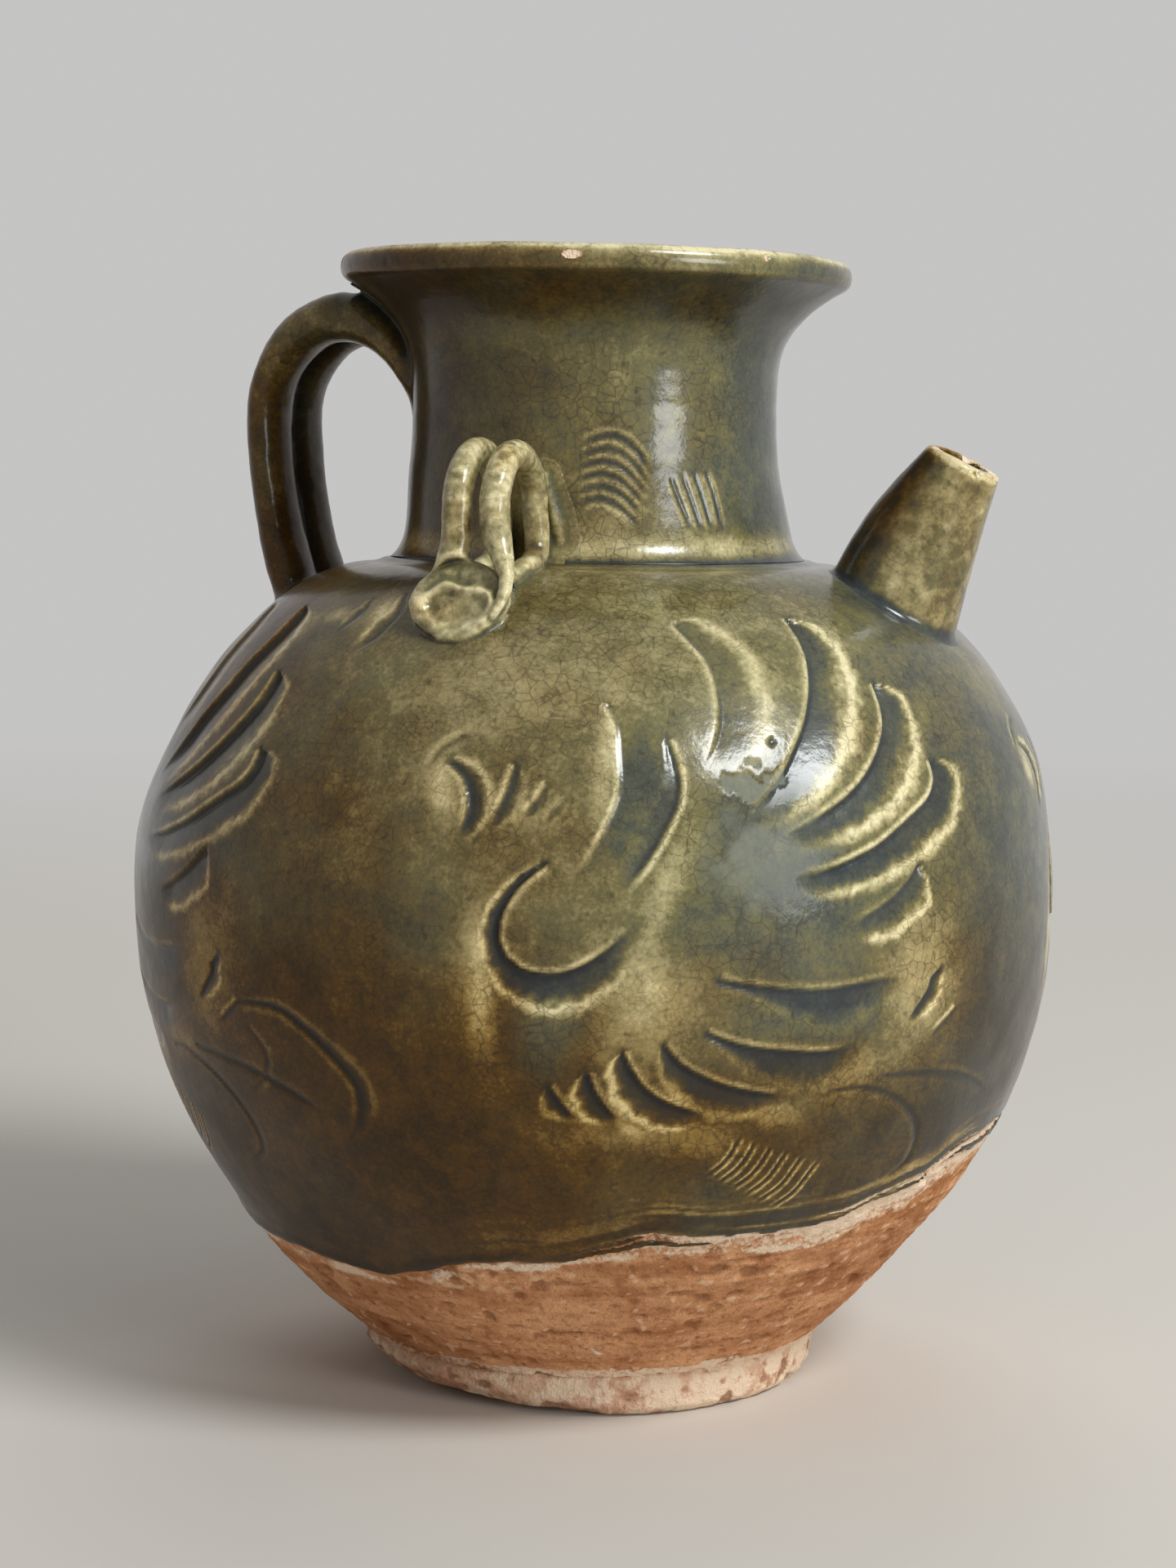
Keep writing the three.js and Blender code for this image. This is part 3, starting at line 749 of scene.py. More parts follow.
def make_body(glaze, clay):
    s, grid, normals, maps = body_surface()
    at_line, at_belly = (int(np.argmin(np.abs(s.height - z))) for z in (GLAZE_LINE_HEIGHT, BELLY_HEIGHT))
    inner_top = SHOULDER_TOP_HEIGHT - BODY_WALL

    def part(low, high):
        rows = slice(low, high + 1)
        return grid[rows], normals[rows], {key: layer[rows] for key, layer in maps.items()}

    def inner_rows(low, high, count):
        z = np.linspace(high, low, count)[:, None]
        return on_circle(inner_body(z), z, s.angle)

    def rings(outline):
        return np.concatenate([on_circle(np.full((1, 1), radius), z, s.angle) for radius, z in outline])

    outer, outer_normals, outer_maps = part(at_line, at_belly)
    inner = inner_rows(s.height[at_line], s.height[at_belly], 14)
    shell("thrown_belly", outer, inner, outer_normals, outer_maps, glaze, ["belly"])

    outer, outer_normals, outer_maps = part(at_belly, len(s.arc) - 1)
    throat = NECK_FOOT_RADIUS - NECK_WALL
    inner = np.concatenate([rings([(throat, COLLAR_HEIGHT), (throat, inner_top)]),
                            inner_rows(s.height[at_belly], inner_top, 20)])
    shell("thrown_shoulder", outer, inner, outer_normals, outer_maps, glaze, ["shoulder"])

    outer, outer_normals, outer_maps = part(0, at_line)
    boss = FOOT_RADIUS - FOOT_RING_WIDTH - 0.3
    under = rings([(6.0, FOOT_RECESS), (20.0, FOOT_RECESS), (boss, FOOT_RECESS), (boss, FOOT_HEIGHT)])
    inner = np.concatenate([inner_rows(FLOOR_TOP, s.height[at_line], 10), rings([(12.0, FLOOR_TOP)])])
    shell("thrown_lower_wall", np.concatenate([under, outer]), inner,
          np.concatenate([np.broadcast_to([0.0, 0.0, -1.0], under.shape), outer_normals]),
          with_rows(outer_maps, under, UNGLAZED, first=True), clay, ["lower_wall"],
          poles=[(0, 0, FOOT_RECESS), (0, 0, FLOOR_TOP)])


# The neck and the foot ring

def full_neck_outline():
    """The neck's outline up its outside, over the lip and down its inside."""
    outside = neck_outline()
    corner = np.array([LIP_RADIUS, TOTAL_HEIGHT])
    lip = corner - [(0.25, 3.6), (0, 2.4), (0.2, 1.2), (0.8, 0.4), (1.7, 0), (2.7, 0.3)]
    lip = smooth_path(np.vstack([outside[-1], lip]), 0.2)[1:]
    z = np.linspace(TOTAL_HEIGHT - 1.2, COLLAR_HEIGHT, 200)
    inside = np.stack([neck_inside(z), z], axis=1)
    return np.concatenate([outside, lip, inside])


# How the neck departs from the wheel's axis: the mouth's slope, and a shift in mm against the view's right
MOUTH_TILT = math.tan(math.radians(0.7))
NECK_SHIFT = 0.8


def make_neck(glaze):
    s = Thrown(full_neck_outline(), NECK_COLUMNS)
    cuts = Cuts(s)
    for line in NECK_COMB_LEFT:
        cuts.groove(line, 0.95, 0.30, 0.6)
    for line in NECK_COMB_RIGHT:
        cuts.groove(line, 0.8, 0.22, 0.55)
    depth, pool, thin = cuts.repeated(NECK_COMB_TURNS)
    p, angle, arc = s.grid, s.angle, s.arc[:, None]
    lip_row = s.climb - 4
    off_lip = arc - s.arc[lip_row]
    lip_edge = hill(off_lip - 0.4, 1.0) + 0.35 * hill(off_lip + 3.3, 0.6)
    lip_edge = lip_edge * (0.8 + 0.35 * noise(p, 7, 57)) + 0.3 * hill(off_lip, 2.6)
    rings = noise(p, (400, 400, 2.2), 51)
    nicks = 0.8 * smoothstep(0.62, 0.85, noise(p, 3.2, 52)) * hill(off_lip, 2.2)
    chip = np.maximum(patch(p, *LIP_CHIP), nicks)
    outside = np.arange(len(arc))[:, None] < lip_row
    foot = arc * outside + 99 * (1 - outside)
    pool = np.maximum(pool, hill(foot, 1.0))
    # A pale band above the neck's foot: thin glaze, and partly a painted highlight
    thin_band_and_glint = 0.6 * hill(foot - 3.6, 2.0) * (0.8 + 0.4 * noise(p, 9, 56))
    thin = unit(np.maximum(np.maximum(thin, thin_band_and_glint * (1 - pool)), 0.9 * lip_edge))
    lift = 0.5 * unevenness(p) + 0.05 * rings - 0.8 * depth - 0.45 * chip
    lift *= smoothstep(0, 1.0, arc) * smoothstep(0, 1.0, arc[-1] - arc)
    lift += 0.16 * noise(p, 11, 53) * hill(off_lip, 4)
    grid = s.placed(lift)
    sideways = on_circle(1.0, 0.0, VIEW_AZIMUTH)
    grid[..., 2] -= MOUTH_TILT * (grid @ sideways) * smoothstep(160, 195, grid[..., 2])
    grid -= NECK_SHIFT * smoothstep(147, 160, grid[..., 2:]) * sideways
    # Painted shade inside the mouth, darker further down
    mouth_shade = smoothstep(186, 165, grid[..., 2]) * (1 - outside)
    # Painted shade: the flaring lip below its edge is darker and browner, less so on the lit side that this
    # curve gives
    green = around(angle, (-150, 0.0), (-90, 0.2), (-45, 0.9), (20, 0.9), (110, 0.2))
    flare = smoothstep(180, 187, grid[..., 2]) * outside * (1 - green * np.exp(-(off_lip / 4.0) ** 4))
    pool = unit(pool)
    ground = ground_tone_and_shade(p, angle) + 0.07 * smoothstep(147, 153, p[..., 2]) + 0.14 * flare
    tone = ground + (1 - ground) * pool - ground * thin * (1 - pool) + 0.2 * mouth_shade
    maps = {
        "tone": unit(tone),
        "bare": unit(1.1 * chip),
        "slip": unit(1.1 * chip),
        "warm": unit(warmth(p, angle) + 0.1 * smoothstep(143, 150, p[..., 2]) + 0.4 * flare),
        "worn": 0.5 * smoothstep(0.2, 0.8, noise(p, 2.0, 55)) * unit(lip_edge),
    }
    faces = [grid_faces(*s.shape, closed=True)]
    make_piece("neck_and_lip", grid.reshape(-1, 3), faces, glaze, ["neck"], maps)


def make_foot(clay):
    inner = FOOT_RADIUS - FOOT_RING_WIDTH
    corners = [(inner, FOOT_HEIGHT), (inner, 0.6), (inner + 0.6, 0), (FOOT_RADIUS - 1.5, 0),
               (FOOT_RADIUS - 0.3, 1.2), (FOOT_RADIUS, 3.0), (FOOT_RADIUS - 0.1, FOOT_HEIGHT - 0.9),
               (FOOT_RADIUS - 0.8, FOOT_HEIGHT)]
    outline, _ = resampled(corners, ROW_SPACING)
    angle = columns_around(BODY_COLUMNS)
    p = on_circle(outline[:, :1], outline[:, 1:], angle)
    out = smoothstep(FOOT_RADIUS - 3, FOOT_RADIUS - 0.5, outline[:, :1])
    low = 1 - smoothstep(0.4, 2.6, p[..., 2])
    lifted = around(angle, (-165, 2.3), (-135, 2.7), (-105, 2.3), (-80, 1.3), (-58, 0.3), (0, 0.1), (90, 0.4))
    wash = around(angle, (-150, 0.25), (-110, 0.35), (-80, 0.6), (-50, 0.9), (0, 0.95), (120, 0.7))
    dents = smoothstep(0.25, 0.7, noise(p, 3.6, 61)) + 0.6 * smoothstep(0.3, 0.8, noise(p, 1.5, 62))
    pull = out * (0.16 * noise(p, 1.2, 63) + 0.30 * noise(p, 14, 64) - 0.5 * dents - 0.3 * lifted * low)
    radius = radius_of(p) + pull
    rise = lifted * smoothstep(inner + 2, FOOT_RADIUS - 1.5, radius) * (1 - smoothstep(1.0, 6.5, p[..., 2]))
    rise += 0.12 * noise(p, 1.7, 67) * low
    grid = on_circle(radius, p[..., 2] + np.maximum(rise, 0), angle)
    # The tone is darker in the dents: painted shade
    maps = {
        "tone": unit(0.5 + 0.45 * dents),
        "bare": 1.0,
        "slip": unit(wash + 0.5 * noise(p, 5, 65) + 0.45 * noise(p, 1.5, 66) - 0.5 * dents),
        "warm": 0.5,
    }
    faces = [grid_faces(*p.shape[:2], closed=True)]
    make_piece("foot_ring_clay", grid.reshape(-1, 3), faces, clay, ["foot_ring"], maps)


# Rolled and pressed clay: solids given by a distance field, negative inside

TABLE_BASE = 100
TABLE_STEP = 0.5
SKIN_GAP = 0.12


def outer_skin():
    """The outline of the body and the neck, from the foot to the lip."""
    return np.concatenate([body_outline(), neck_outline()[1:]])


def distance_table():
    """Signed distance from the thrown outer skin, on a table by radius and by height from its base."""
    outline = outer_skin()
    outline = resampled(outline[outline[:, 1] > TABLE_BASE - 4], 1.0)[0]
    radius = np.arange(0, 100 + TABLE_STEP, TABLE_STEP)
    radius, height = np.meshgrid(radius, radius + TABLE_BASE, indexing="ij")
    best = np.full(radius.shape, np.inf)
    for (ar, az), (br, bz) in zip(outline[:-1], outline[1:]):
        dr, dz = br - ar, bz - az
        k = unit(((radius - ar) * dr + (height - az) * dz) / (dr * dr + dz * dz))
        best = np.minimum(best, np.hypot(radius - ar - k * dr, height - az - k * dz))
    inside = radius < np.interp(height, outline[:, 1], outline[:, 0], right=0)
    return np.where(inside, -best, best)


DISTANCES = distance_table()


def skin_field(points):
    """Distance of points from the body's and neck's outer skin."""
    radius = radius_of(points) - leaning(points[:, 2], angle_of(points))
    height = points[:, 2] - TABLE_BASE
    r, z = (np.clip(value / TABLE_STEP, 0, len(DISTANCES) - 1.001) for value in (radius, height))
    i, j = r.astype(int), z.astype(int)
    r, z = r - i, z - j
    low = DISTANCES[i, j] * (1 - r) + DISTANCES[i + 1, j] * r
    high = DISTANCES[i, j + 1] * (1 - r) + DISTANCES[i + 1, j + 1] * r
    return low * (1 - z) + high * z - GLAZE_THICKNESS


def joined(a, b, blend):
    """Union of two fields with a fillet."""
    h = unit(0.5 + 0.5 * (b - a) / blend)
    return b * (1 - h) + a * h - blend * h * (1 - h)


def cut_by(a, b, blend):
    """What two fields share, with a rounded edge."""
    return -joined(-a, -b, blend)


def strand_field(points, path, sideways):
    """Field of a rolled strand. Rows of path are x, y, z, half its width sideways and half its thickness."""
    best = np.full(len(points), np.inf)
    for a, b in zip(path[:-1], path[1:]):
        way = b[:3] - a[:3]
        length = np.linalg.norm(way)
        way = way / length
        k = unit(((points - a[:3]) @ way) / length)
        offset = points - a[:3] - (k * length)[:, None] * way
        lateral = offset @ sideways
        across = np.sqrt(np.maximum((offset * offset).sum(axis=1) - lateral * lateral, 0))
        wide, thick = (a[i] + (b[i] - a[i]) * k for i in (3, 4))
        best = np.minimum(best, (np.hypot(lateral / wide, across / thick) - 1) * np.minimum(wide, thick))
    return best


def ball_field(points, centre, radii):
    return (np.linalg.norm((points - centre) / radii, axis=1) - 1) * min(radii)


def surface_net(field, low, high, step):
    """Vertices and faces of the closed surface where a field crosses zero between two corners."""
    axes = [np.arange(start, end + step, step) for start, end in zip(low, high)]
    lattice = np.stack(np.meshgrid(*axes, indexing="ij"), axis=-1)
    shape = lattice.shape[:3]
    flat = lattice.reshape(-1, 3)
    values = np.concatenate([field(flat[i:i + 200000]) for i in range(0, len(flat), 200000)]).reshape(shape)
    cells = tuple(n - 1 for n in shape)
    total, count = np.zeros((np.prod(cells), 3)), np.zeros(np.prod(cells))
    crossings = []
    for axis in range(3):
        near = np.take(values, range(shape[axis] - 1), axis=axis)
        far = np.take(values, range(1, shape[axis]), axis=axis)
        edges = np.argwhere((near < 0) != (far < 0))
        a, b = near[tuple(edges.T)], far[tuple(edges.T)]
        place = edges.astype(float)
        place[:, axis] += a / (a - b)
        first, second = [k for k in range(3) if k != axis]
        ring = []
        for df, ds in ((1, 1), (0, 1), (0, 0), (1, 0)):
            cell = edges.copy()
            cell[:, first] -= df
            cell[:, second] -= ds
            ring.append(np.ravel_multi_index(tuple(np.clip(cell, 0, np.array(cells) - 1).T), cells))
        for index in ring:
            np.add.at(total, index, place)
            np.add.at(count, index, 1)
        quads = np.stack(ring, axis=1)
        backwards = (a < 0) == (axis == 1)
        quads[backwards] = quads[backwards][:, ::-1]
        crossings.append(quads)
    used = np.where(count > 0)[0]
    number = np.full(len(count), -1)
    number[used] = np.arange(len(used))
    vertices = np.array(low) + total[used] / count[used][:, None] * step
    return vertices, number[np.concatenate(crossings)]


def gradient(field, points, step):
    shifts = np.eye(3) * step
    return np.stack([(field(points + s) - field(points - s)) / (2 * step) for s in shifts], axis=1)


def settled(field, vertices):
    """Vertices moved onto the field's zero surface, with their normals."""
    for _ in range(2):
        slope = gradient(field, vertices, 0.1)
        size = np.maximum((slope * slope).sum(axis=1), 0.05)
        move = -(field(vertices) / size)[:, None] * slope
        vertices = vertices + np.clip(move, -0.25 * VOXEL, 0.25 * VOXEL)
    normals = gradient(field, vertices, 0.15)
    return vertices, normals / np.maximum(np.linalg.norm(normals, axis=1, keepdims=True), 1e-9)


def bend(field, points, step=0.9):
    """How strongly a surface curves: positive on ridges and negative in creases."""
    shifts = np.vstack([np.eye(3), -np.eye(3)]) * step
    return (sum(field(points + s) for s in shifts) - 6 * field(points)) / step ** 2


def clay_pieces(shape, blend, box, labels, material, pieces, base, gain, glazing, rim=None, bore=None):
    """Pieces cut from one form of clay, a field, that is luted to the skin with a fillet as wide as blend.

    labels gives each face the number of its piece. base and gain set the tone, thin on ridges and pooled in
    creases, and glazing adds to the maps. bore is the field of a hole, and rim the field that the fillet
    follows.
    """
    def whole(points):
        return joined(shape(points), skin_field(points) + SKIN_GAP, blend)

    def field(points):
        """The form and its fillet, ending just under the skin."""
        part, skin = shape(points), skin_field(points)
        seated = np.maximum(np.maximum(joined(part, skin + SKIN_GAP, blend), -skin - 1.0), part - 2.2 * blend)
        return cut_by(seated, -bore(points), 0.5) if bore else seated

    vertices, faces = surface_net(field, *box, VOXEL)
    vertices, normals = settled(field, vertices)
    angle = angle_of(vertices)
    label = labels(vertices[faces].mean(axis=1))
    warm = warmth(vertices, angle)
    maps = {"tone": unit(base - gain * bend(whole, vertices) + 0.06 * noise(vertices, 5, 71)), "warm": warm}
    glazing(vertices, maps)
    edge = (rim or shape)(vertices)
    fringe = smoothstep(0.5, 2.2, edge) * smoothstep(1.0, 0.4, np.abs(skin_field(vertices)))
    for key, level in (("tone", ground_tone_and_shade(vertices, angle)), ("warm", warm)):
        maps[key] = maps[key] * (1 - fringe) + level * fringe
    for number, (name, node) in enumerate(pieces):
        mine = faces[label == number]
        used, local = np.unique(mine, return_inverse=True)
        make_piece(name, vertices[used], [local.reshape(mine.shape)], material, [node],
                   {key: layer[used] for key, layer in maps.items()}, normals[used], fill=len(pieces) > 1)


# The handle

def quarter(start, end, rising, pull, count):
    """A quarter turn between two (distance, height) points, leaving the first vertically or level."""
    start, end = np.array(start, float), np.array(end, float)
    corner = np.array([start[0], end[1]]) if rising else np.array([end[0], start[1]])
    first, second = start + (corner - start) * pull, end + (corner - end) * pull
    t = np.linspace(0, 1, count)[:, None]
    return (1 - t) ** 3 * start + 3 * t * (1 - t) ** 2 * first + 3 * t * t * (1 - t) * second + t ** 3 * end


HANDLE_FOOT = (55.0, 134.2)
HANDLE_BOW = (61.6, 167.0)
HANDLE_CROWN = (46.7, 185.1)
HANDLE_LANDING = (28.6, 163.5)
HANDLE_END = (25.0, 156.0)
STRAND_SPACING = 12.0
HANDLE_BOX = (-71, -23, 116), (-19, 23, 193)
# The share of a quarter turn's sides that makes it a quarter of a circle
ROUND = 0.5523


def handle_path(side):
    """Rows x, y, z, half width and half thickness of one of the handle's strands."""
    rise = bezier(HANDLE_FOOT, (HANDLE_BOW[0], 152.0), HANDLE_BOW, 9)
    over = quarter(HANDLE_BOW, HANDLE_CROWN, True, ROUND, 12)
    down = quarter(HANDLE_CROWN, HANDLE_LANDING, False, 0.5, 12)
    line = np.concatenate([rise, over[1:], down[1:], [HANDLE_END]])
    along = np.linspace(0, 1, len(line))
    thick = np.interp(along, [0, 0.10, 0.35, 0.62, 0.9, 1], [3.9, 3.5, 3.6, 4.4, 2.8, 2.0])
    wide = np.interp(along, [0, 0.12, 0.6, 0.85, 1], [6.6, 5.9, 6.0, 5.7, 4.6])
    y = np.full(len(line), side * STRAND_SPACING / 2)
    return np.stack([-line[:, 0], y, line[:, 1], wide, thick], axis=1)


def make_handle(glaze):
    paths = [handle_path(-1), handle_path(1)]
    sideways = np.array([0.0, 1.0, 0.0])

    def shape(points):
        wobble = 0.22 * noise(points, 9, 72) + 0.06 * noise(points, 2.5, 73)
        front, back = (strand_field(points, path, sideways) for path in paths)
        return joined(front, back, 0.6) + wobble

    def labels(centres):
        return (centres[:, 1] > 0).astype(int)

    def glazing(vertices, maps):
        # Painted shade in the groove between the two strands
        groove = hill(vertices[:, 1], 2.4)
        blotches = 0.10 * noise(vertices, 4.5, 90) + 0.07 * noise(vertices, 1.6, 91)
        maps["tone"] = unit(maps["tone"] + 0.3 * groove + blotches)
        maps["warm"] = unit(maps["warm"] + 0.12 + 0.25 * noise(vertices, 12, 92))
        maps["worn"] = np.clip(0.2 + 0.15 * noise(vertices, 7, 95), 0, 0.5)

    pieces = [("handle_strand_near", "handle_strand_front"), ("handle_strand_far", "handle_strand_back")]
    clay_pieces(shape, 2.2, HANDLE_BOX, labels, glaze, pieces, 0.6, 0.42, glazing)


# The spout

SPOUT_FOOT = np.array([54.2, 0.0, 137.0])
SPOUT_TILT = math.radians(25.7)
SPOUT_LENGTH = 26.8
# Radii at the foot in mm, and how much smaller they are at the tip
SPOUT_RADIUS, SPOUT_TAPER = 11.6, 5.2
BORE_RADIUS, BORE_TAPER = 7.6, 3.2
SPOUT_BOX = (37, -18.5, 122), (76, 18.5, 166)


def make_spout(glaze):
    way = np.array([math.sin(SPOUT_TILT), 0, math.cos(SPOUT_TILT)])
    out = np.array([math.cos(SPOUT_TILT), 0, -math.sin(SPOUT_TILT)])

    def measured(points):
        """Distance up the spout, share of its length, and the distances from the bent axis and the bore."""
        offset = points - SPOUT_FOOT
        along = offset @ way
        t = np.clip(along / SPOUT_LENGTH, -0.4, 1.1)
        side = offset @ out + 0.7 * np.sin(math.pi * unit(t))
        radius = np.hypot(side, offset[:, 1])
        return along, t, radius, radius - (BORE_RADIUS - BORE_TAPER * np.clip(t, 0, 1.1))

    def cone(points):
        _, t, radius, _ = measured(points)
        bulge = 0.55 * np.sin(math.pi * unit(t))
        wobble = 0.16 * noise(points, 10, 74) + 0.05 * noise(points, 2.2, 75)
        return (radius - (SPOUT_RADIUS - SPOUT_TAPER * t + bulge)) * 0.97 + wobble

    def shape(points):
        chips = 0.9 * smoothstep(0.25, 0.8, noise(points, 2.6, 76)) + 0.3 * noise(points, 5, 77)
        return cut_by(cone(points), measured(points)[0] - SPOUT_LENGTH + chips, 0.9)

    def bore(points):
        return measured(points)[3] + 0.15 * noise(points, 3, 78)

    def labels(centres):
        return np.zeros(len(centres), int)

    def glazing(vertices, maps):
        along, _, radius, off_bore = measured(vertices)
        edge = smoothstep(SPOUT_LENGTH - 1.6, SPOUT_LENGTH - 0.5, along + 0.6 * noise(vertices, 2.4, 79))
        inner = 1 - smoothstep(0.1, 0.9, off_bore)
        blotches = 0.13 * noise(vertices, 3.0, 85) + 0.12 * noise(vertices, 1.2, 86)
        shaded_neck_side = smoothstep(0.1, -0.75, ((vertices - SPOUT_FOOT) @ out) / np.maximum(radius, 1))
        crease = smoothstep(2.4, 0.4, skin_field(vertices)) * smoothstep(3.2, 0.8, cone(vertices))
        # Darker on the side towards the neck and inside the bore, both painted shade, and in the crease at
        # the foot
        dark = 0.24 * shaded_neck_side + 0.42 * crease + 0.6 * inner * (1 - 0.6 * edge)
        maps["bare"] = unit(edge * smoothstep(0.0, 0.5, noise(vertices, 3.1, 76)))
        maps["slip"] = unit(edge * 1.1)
        maps["tone"] = unit(maps["tone"] + blotches + dark - 0.38 * edge)
        warm = 0.36 + 0.3 * shaded_neck_side - 0.3 * crease + 0.4 * inner
        maps["warm"] = unit(warm + 0.2 * noise(vertices, 9, 80))

    pieces = [("spout_cone", "spout")]
    clay_pieces(shape, 1.7, SPOUT_BOX, labels, glaze, pieces, 0.44, 0.40, glazing,
                rim=cone, bore=bore)


# The lugs

LUG_FRONT = 54.4
LUG_BACK = 37.2
LUG_SPRING = 151.8
LUG_TOP = 161.3
LUG_FOOT = 136.6
LUG_SPACING = 6.4
LUG_CURL = [(37.0, 148.0), (37.9, 145.0), (40.6, 143.3), (44.2, 142.5), (48.0, 141.2), (51.5, 140.2)]
# The right loop's outer leg runs down the edge of the disc: x, distance, z and half width
EDGE_LEG = [
    (5.6, 60.2, 135.8, 0.7), (6.4, 59.5, 137.4, 0.95), (6.9, 58.5, 139.6, 1.1), (6.7, 57.4, 142.0, 1.3),
    (5.6, 56.4, 144.6, 1.8), (4.3, 55.3, 147.4, 2.3), (3.5, 54.7, 150.0, 2.45),
]
# The disc that a thumb pressed out of the legs' ends
DISC_CENTRE = np.array([-1.2, 58.7, 138.2])
DISC_SLOPE = math.radians(63.0)
DISC_HALF_WIDTH = 8.2
DISC_HALF_LENGTH = 6.9
DISC_THICKNESS = 2.6
# The flatter plate on its face: its middle across and down the disc, and half its width and length
PLATE_MIDDLE = (-0.5, 1.5)
PLATE_HALF = (6.3, 3.2)
# The lump of clay behind the disc
LUMP_CENTRE = np.array([-0.6, 53.8, 138.0])
LUMP_RADII = np.array([6.6, 4.6, 5.4])
NECK_RIDGE = [(666, 584), (670, 603), (676, 625), (682, 645), (687, 660)]
LUG_BOX = (-16, 28, 122), (16, 71, 167)


def lug_loop(side):
    """Rows x, distance, z, half width and half thickness of one loop, in the lug's own frame."""
    middle, top = (LUG_FRONT + LUG_BACK) / 2, LUG_TOP - 0.2 * side
    over = quarter((LUG_FRONT, LUG_SPRING), (middle, top), True, ROUND, 9)
    down = quarter((middle, top), (LUG_BACK, LUG_SPRING), False, ROUND, 9)[1:]
    back = smooth_path([(LUG_BACK, LUG_SPRING), *LUG_CURL], 1.2)[1:]
    line = np.concatenate([over, down, back])
    distance, height = line[:, 0], line[:, 1]
    splay = 1.2 * (1 - smoothstep(138, 153, height)) * smoothstep(51, 43, distance) * (side > 0)
    x = side * (LUG_SPACING / 2 + splay)
    half = np.concatenate([np.linspace(2.5, 2.3, len(over)), np.linspace(2.3, 2.2, len(down)),
                           np.linspace(2.2, 1.7, len(back))])
    if side > 0:
        leg = smooth_path(EDGE_LEG, 1.5)
    else:
        left = -LUG_SPACING / 2
        leg = [(left - 1.0, LUG_FRONT + 1.2, LUG_FOOT, 3.1), (left - 0.5, LUG_FRONT + 0.6, 143.0, 2.8),
               (left, LUG_FRONT, 147.5, 2.55)]
    rows = np.vstack([leg, np.column_stack([x, distance, height, half])])
    return rows[:, [0, 1, 2, 3, 3]]


def neck_ridge():
    """Rows of a thin roll of clay on the neck behind the lug, in the lug's own frame."""
    angle, height = seen_at(*np.array(NECK_RIDGE, float).T)
    points = on_circle(neck_outside(height) + 0.1, height, angle)
    half = 0.8 * np.sin(np.linspace(0.5, 2.6, len(points)))
    return np.column_stack([points * (1, -1, 1), half, half])


def disc_relief(u, v, shift):
    """For u across the disc and v down it: distance outside its edge, height and distance off its plate."""
    place = np.stack([u, v, 0 * u + shift], axis=1)
    crinkle = 0.4 * noise(place, 1.8, 81) * smoothstep(0.0, 4.0, v) * smoothstep(7.0, 4.0, u)
    crinkle += 0.35 * noise(place, 6, 82)
    crinkle += 0.5 * smoothstep(4.5, 7.5, u) * smoothstep(0.0, 2.0, v)
    outside = (np.hypot(u / DISC_HALF_WIDTH, v / DISC_HALF_LENGTH) - 1) * DISC_HALF_LENGTH + crinkle
    wave = 0.45 * np.sin(0.9 * u + 0.6) + 0.3 * noise(place, 2.6, 87)
    plate = np.hypot((u - PLATE_MIDDLE[0]) / PLATE_HALF[0], (v - PLATE_MIDDLE[1]) / PLATE_HALF[1])
    plate = (plate - 1) * 4.2 + wave
    upper, lower = smoothstep(3.2, 0.4, v), smoothstep(-4.5, 2.5, v)
    height = -0.5 * smoothstep(0.3, 2.6, plate) * upper
    height += (0.75 * upper + 0.1) * hill(plate, 0.85)
    height += (0.1 + 0.45 * lower) * hill(outside + 1.2, 1.1) - 0.2 * smoothstep(-0.5, -1.8, plate)
    height += 0.16 * noise(place, 1.5, 88)
    return outside, height, plate


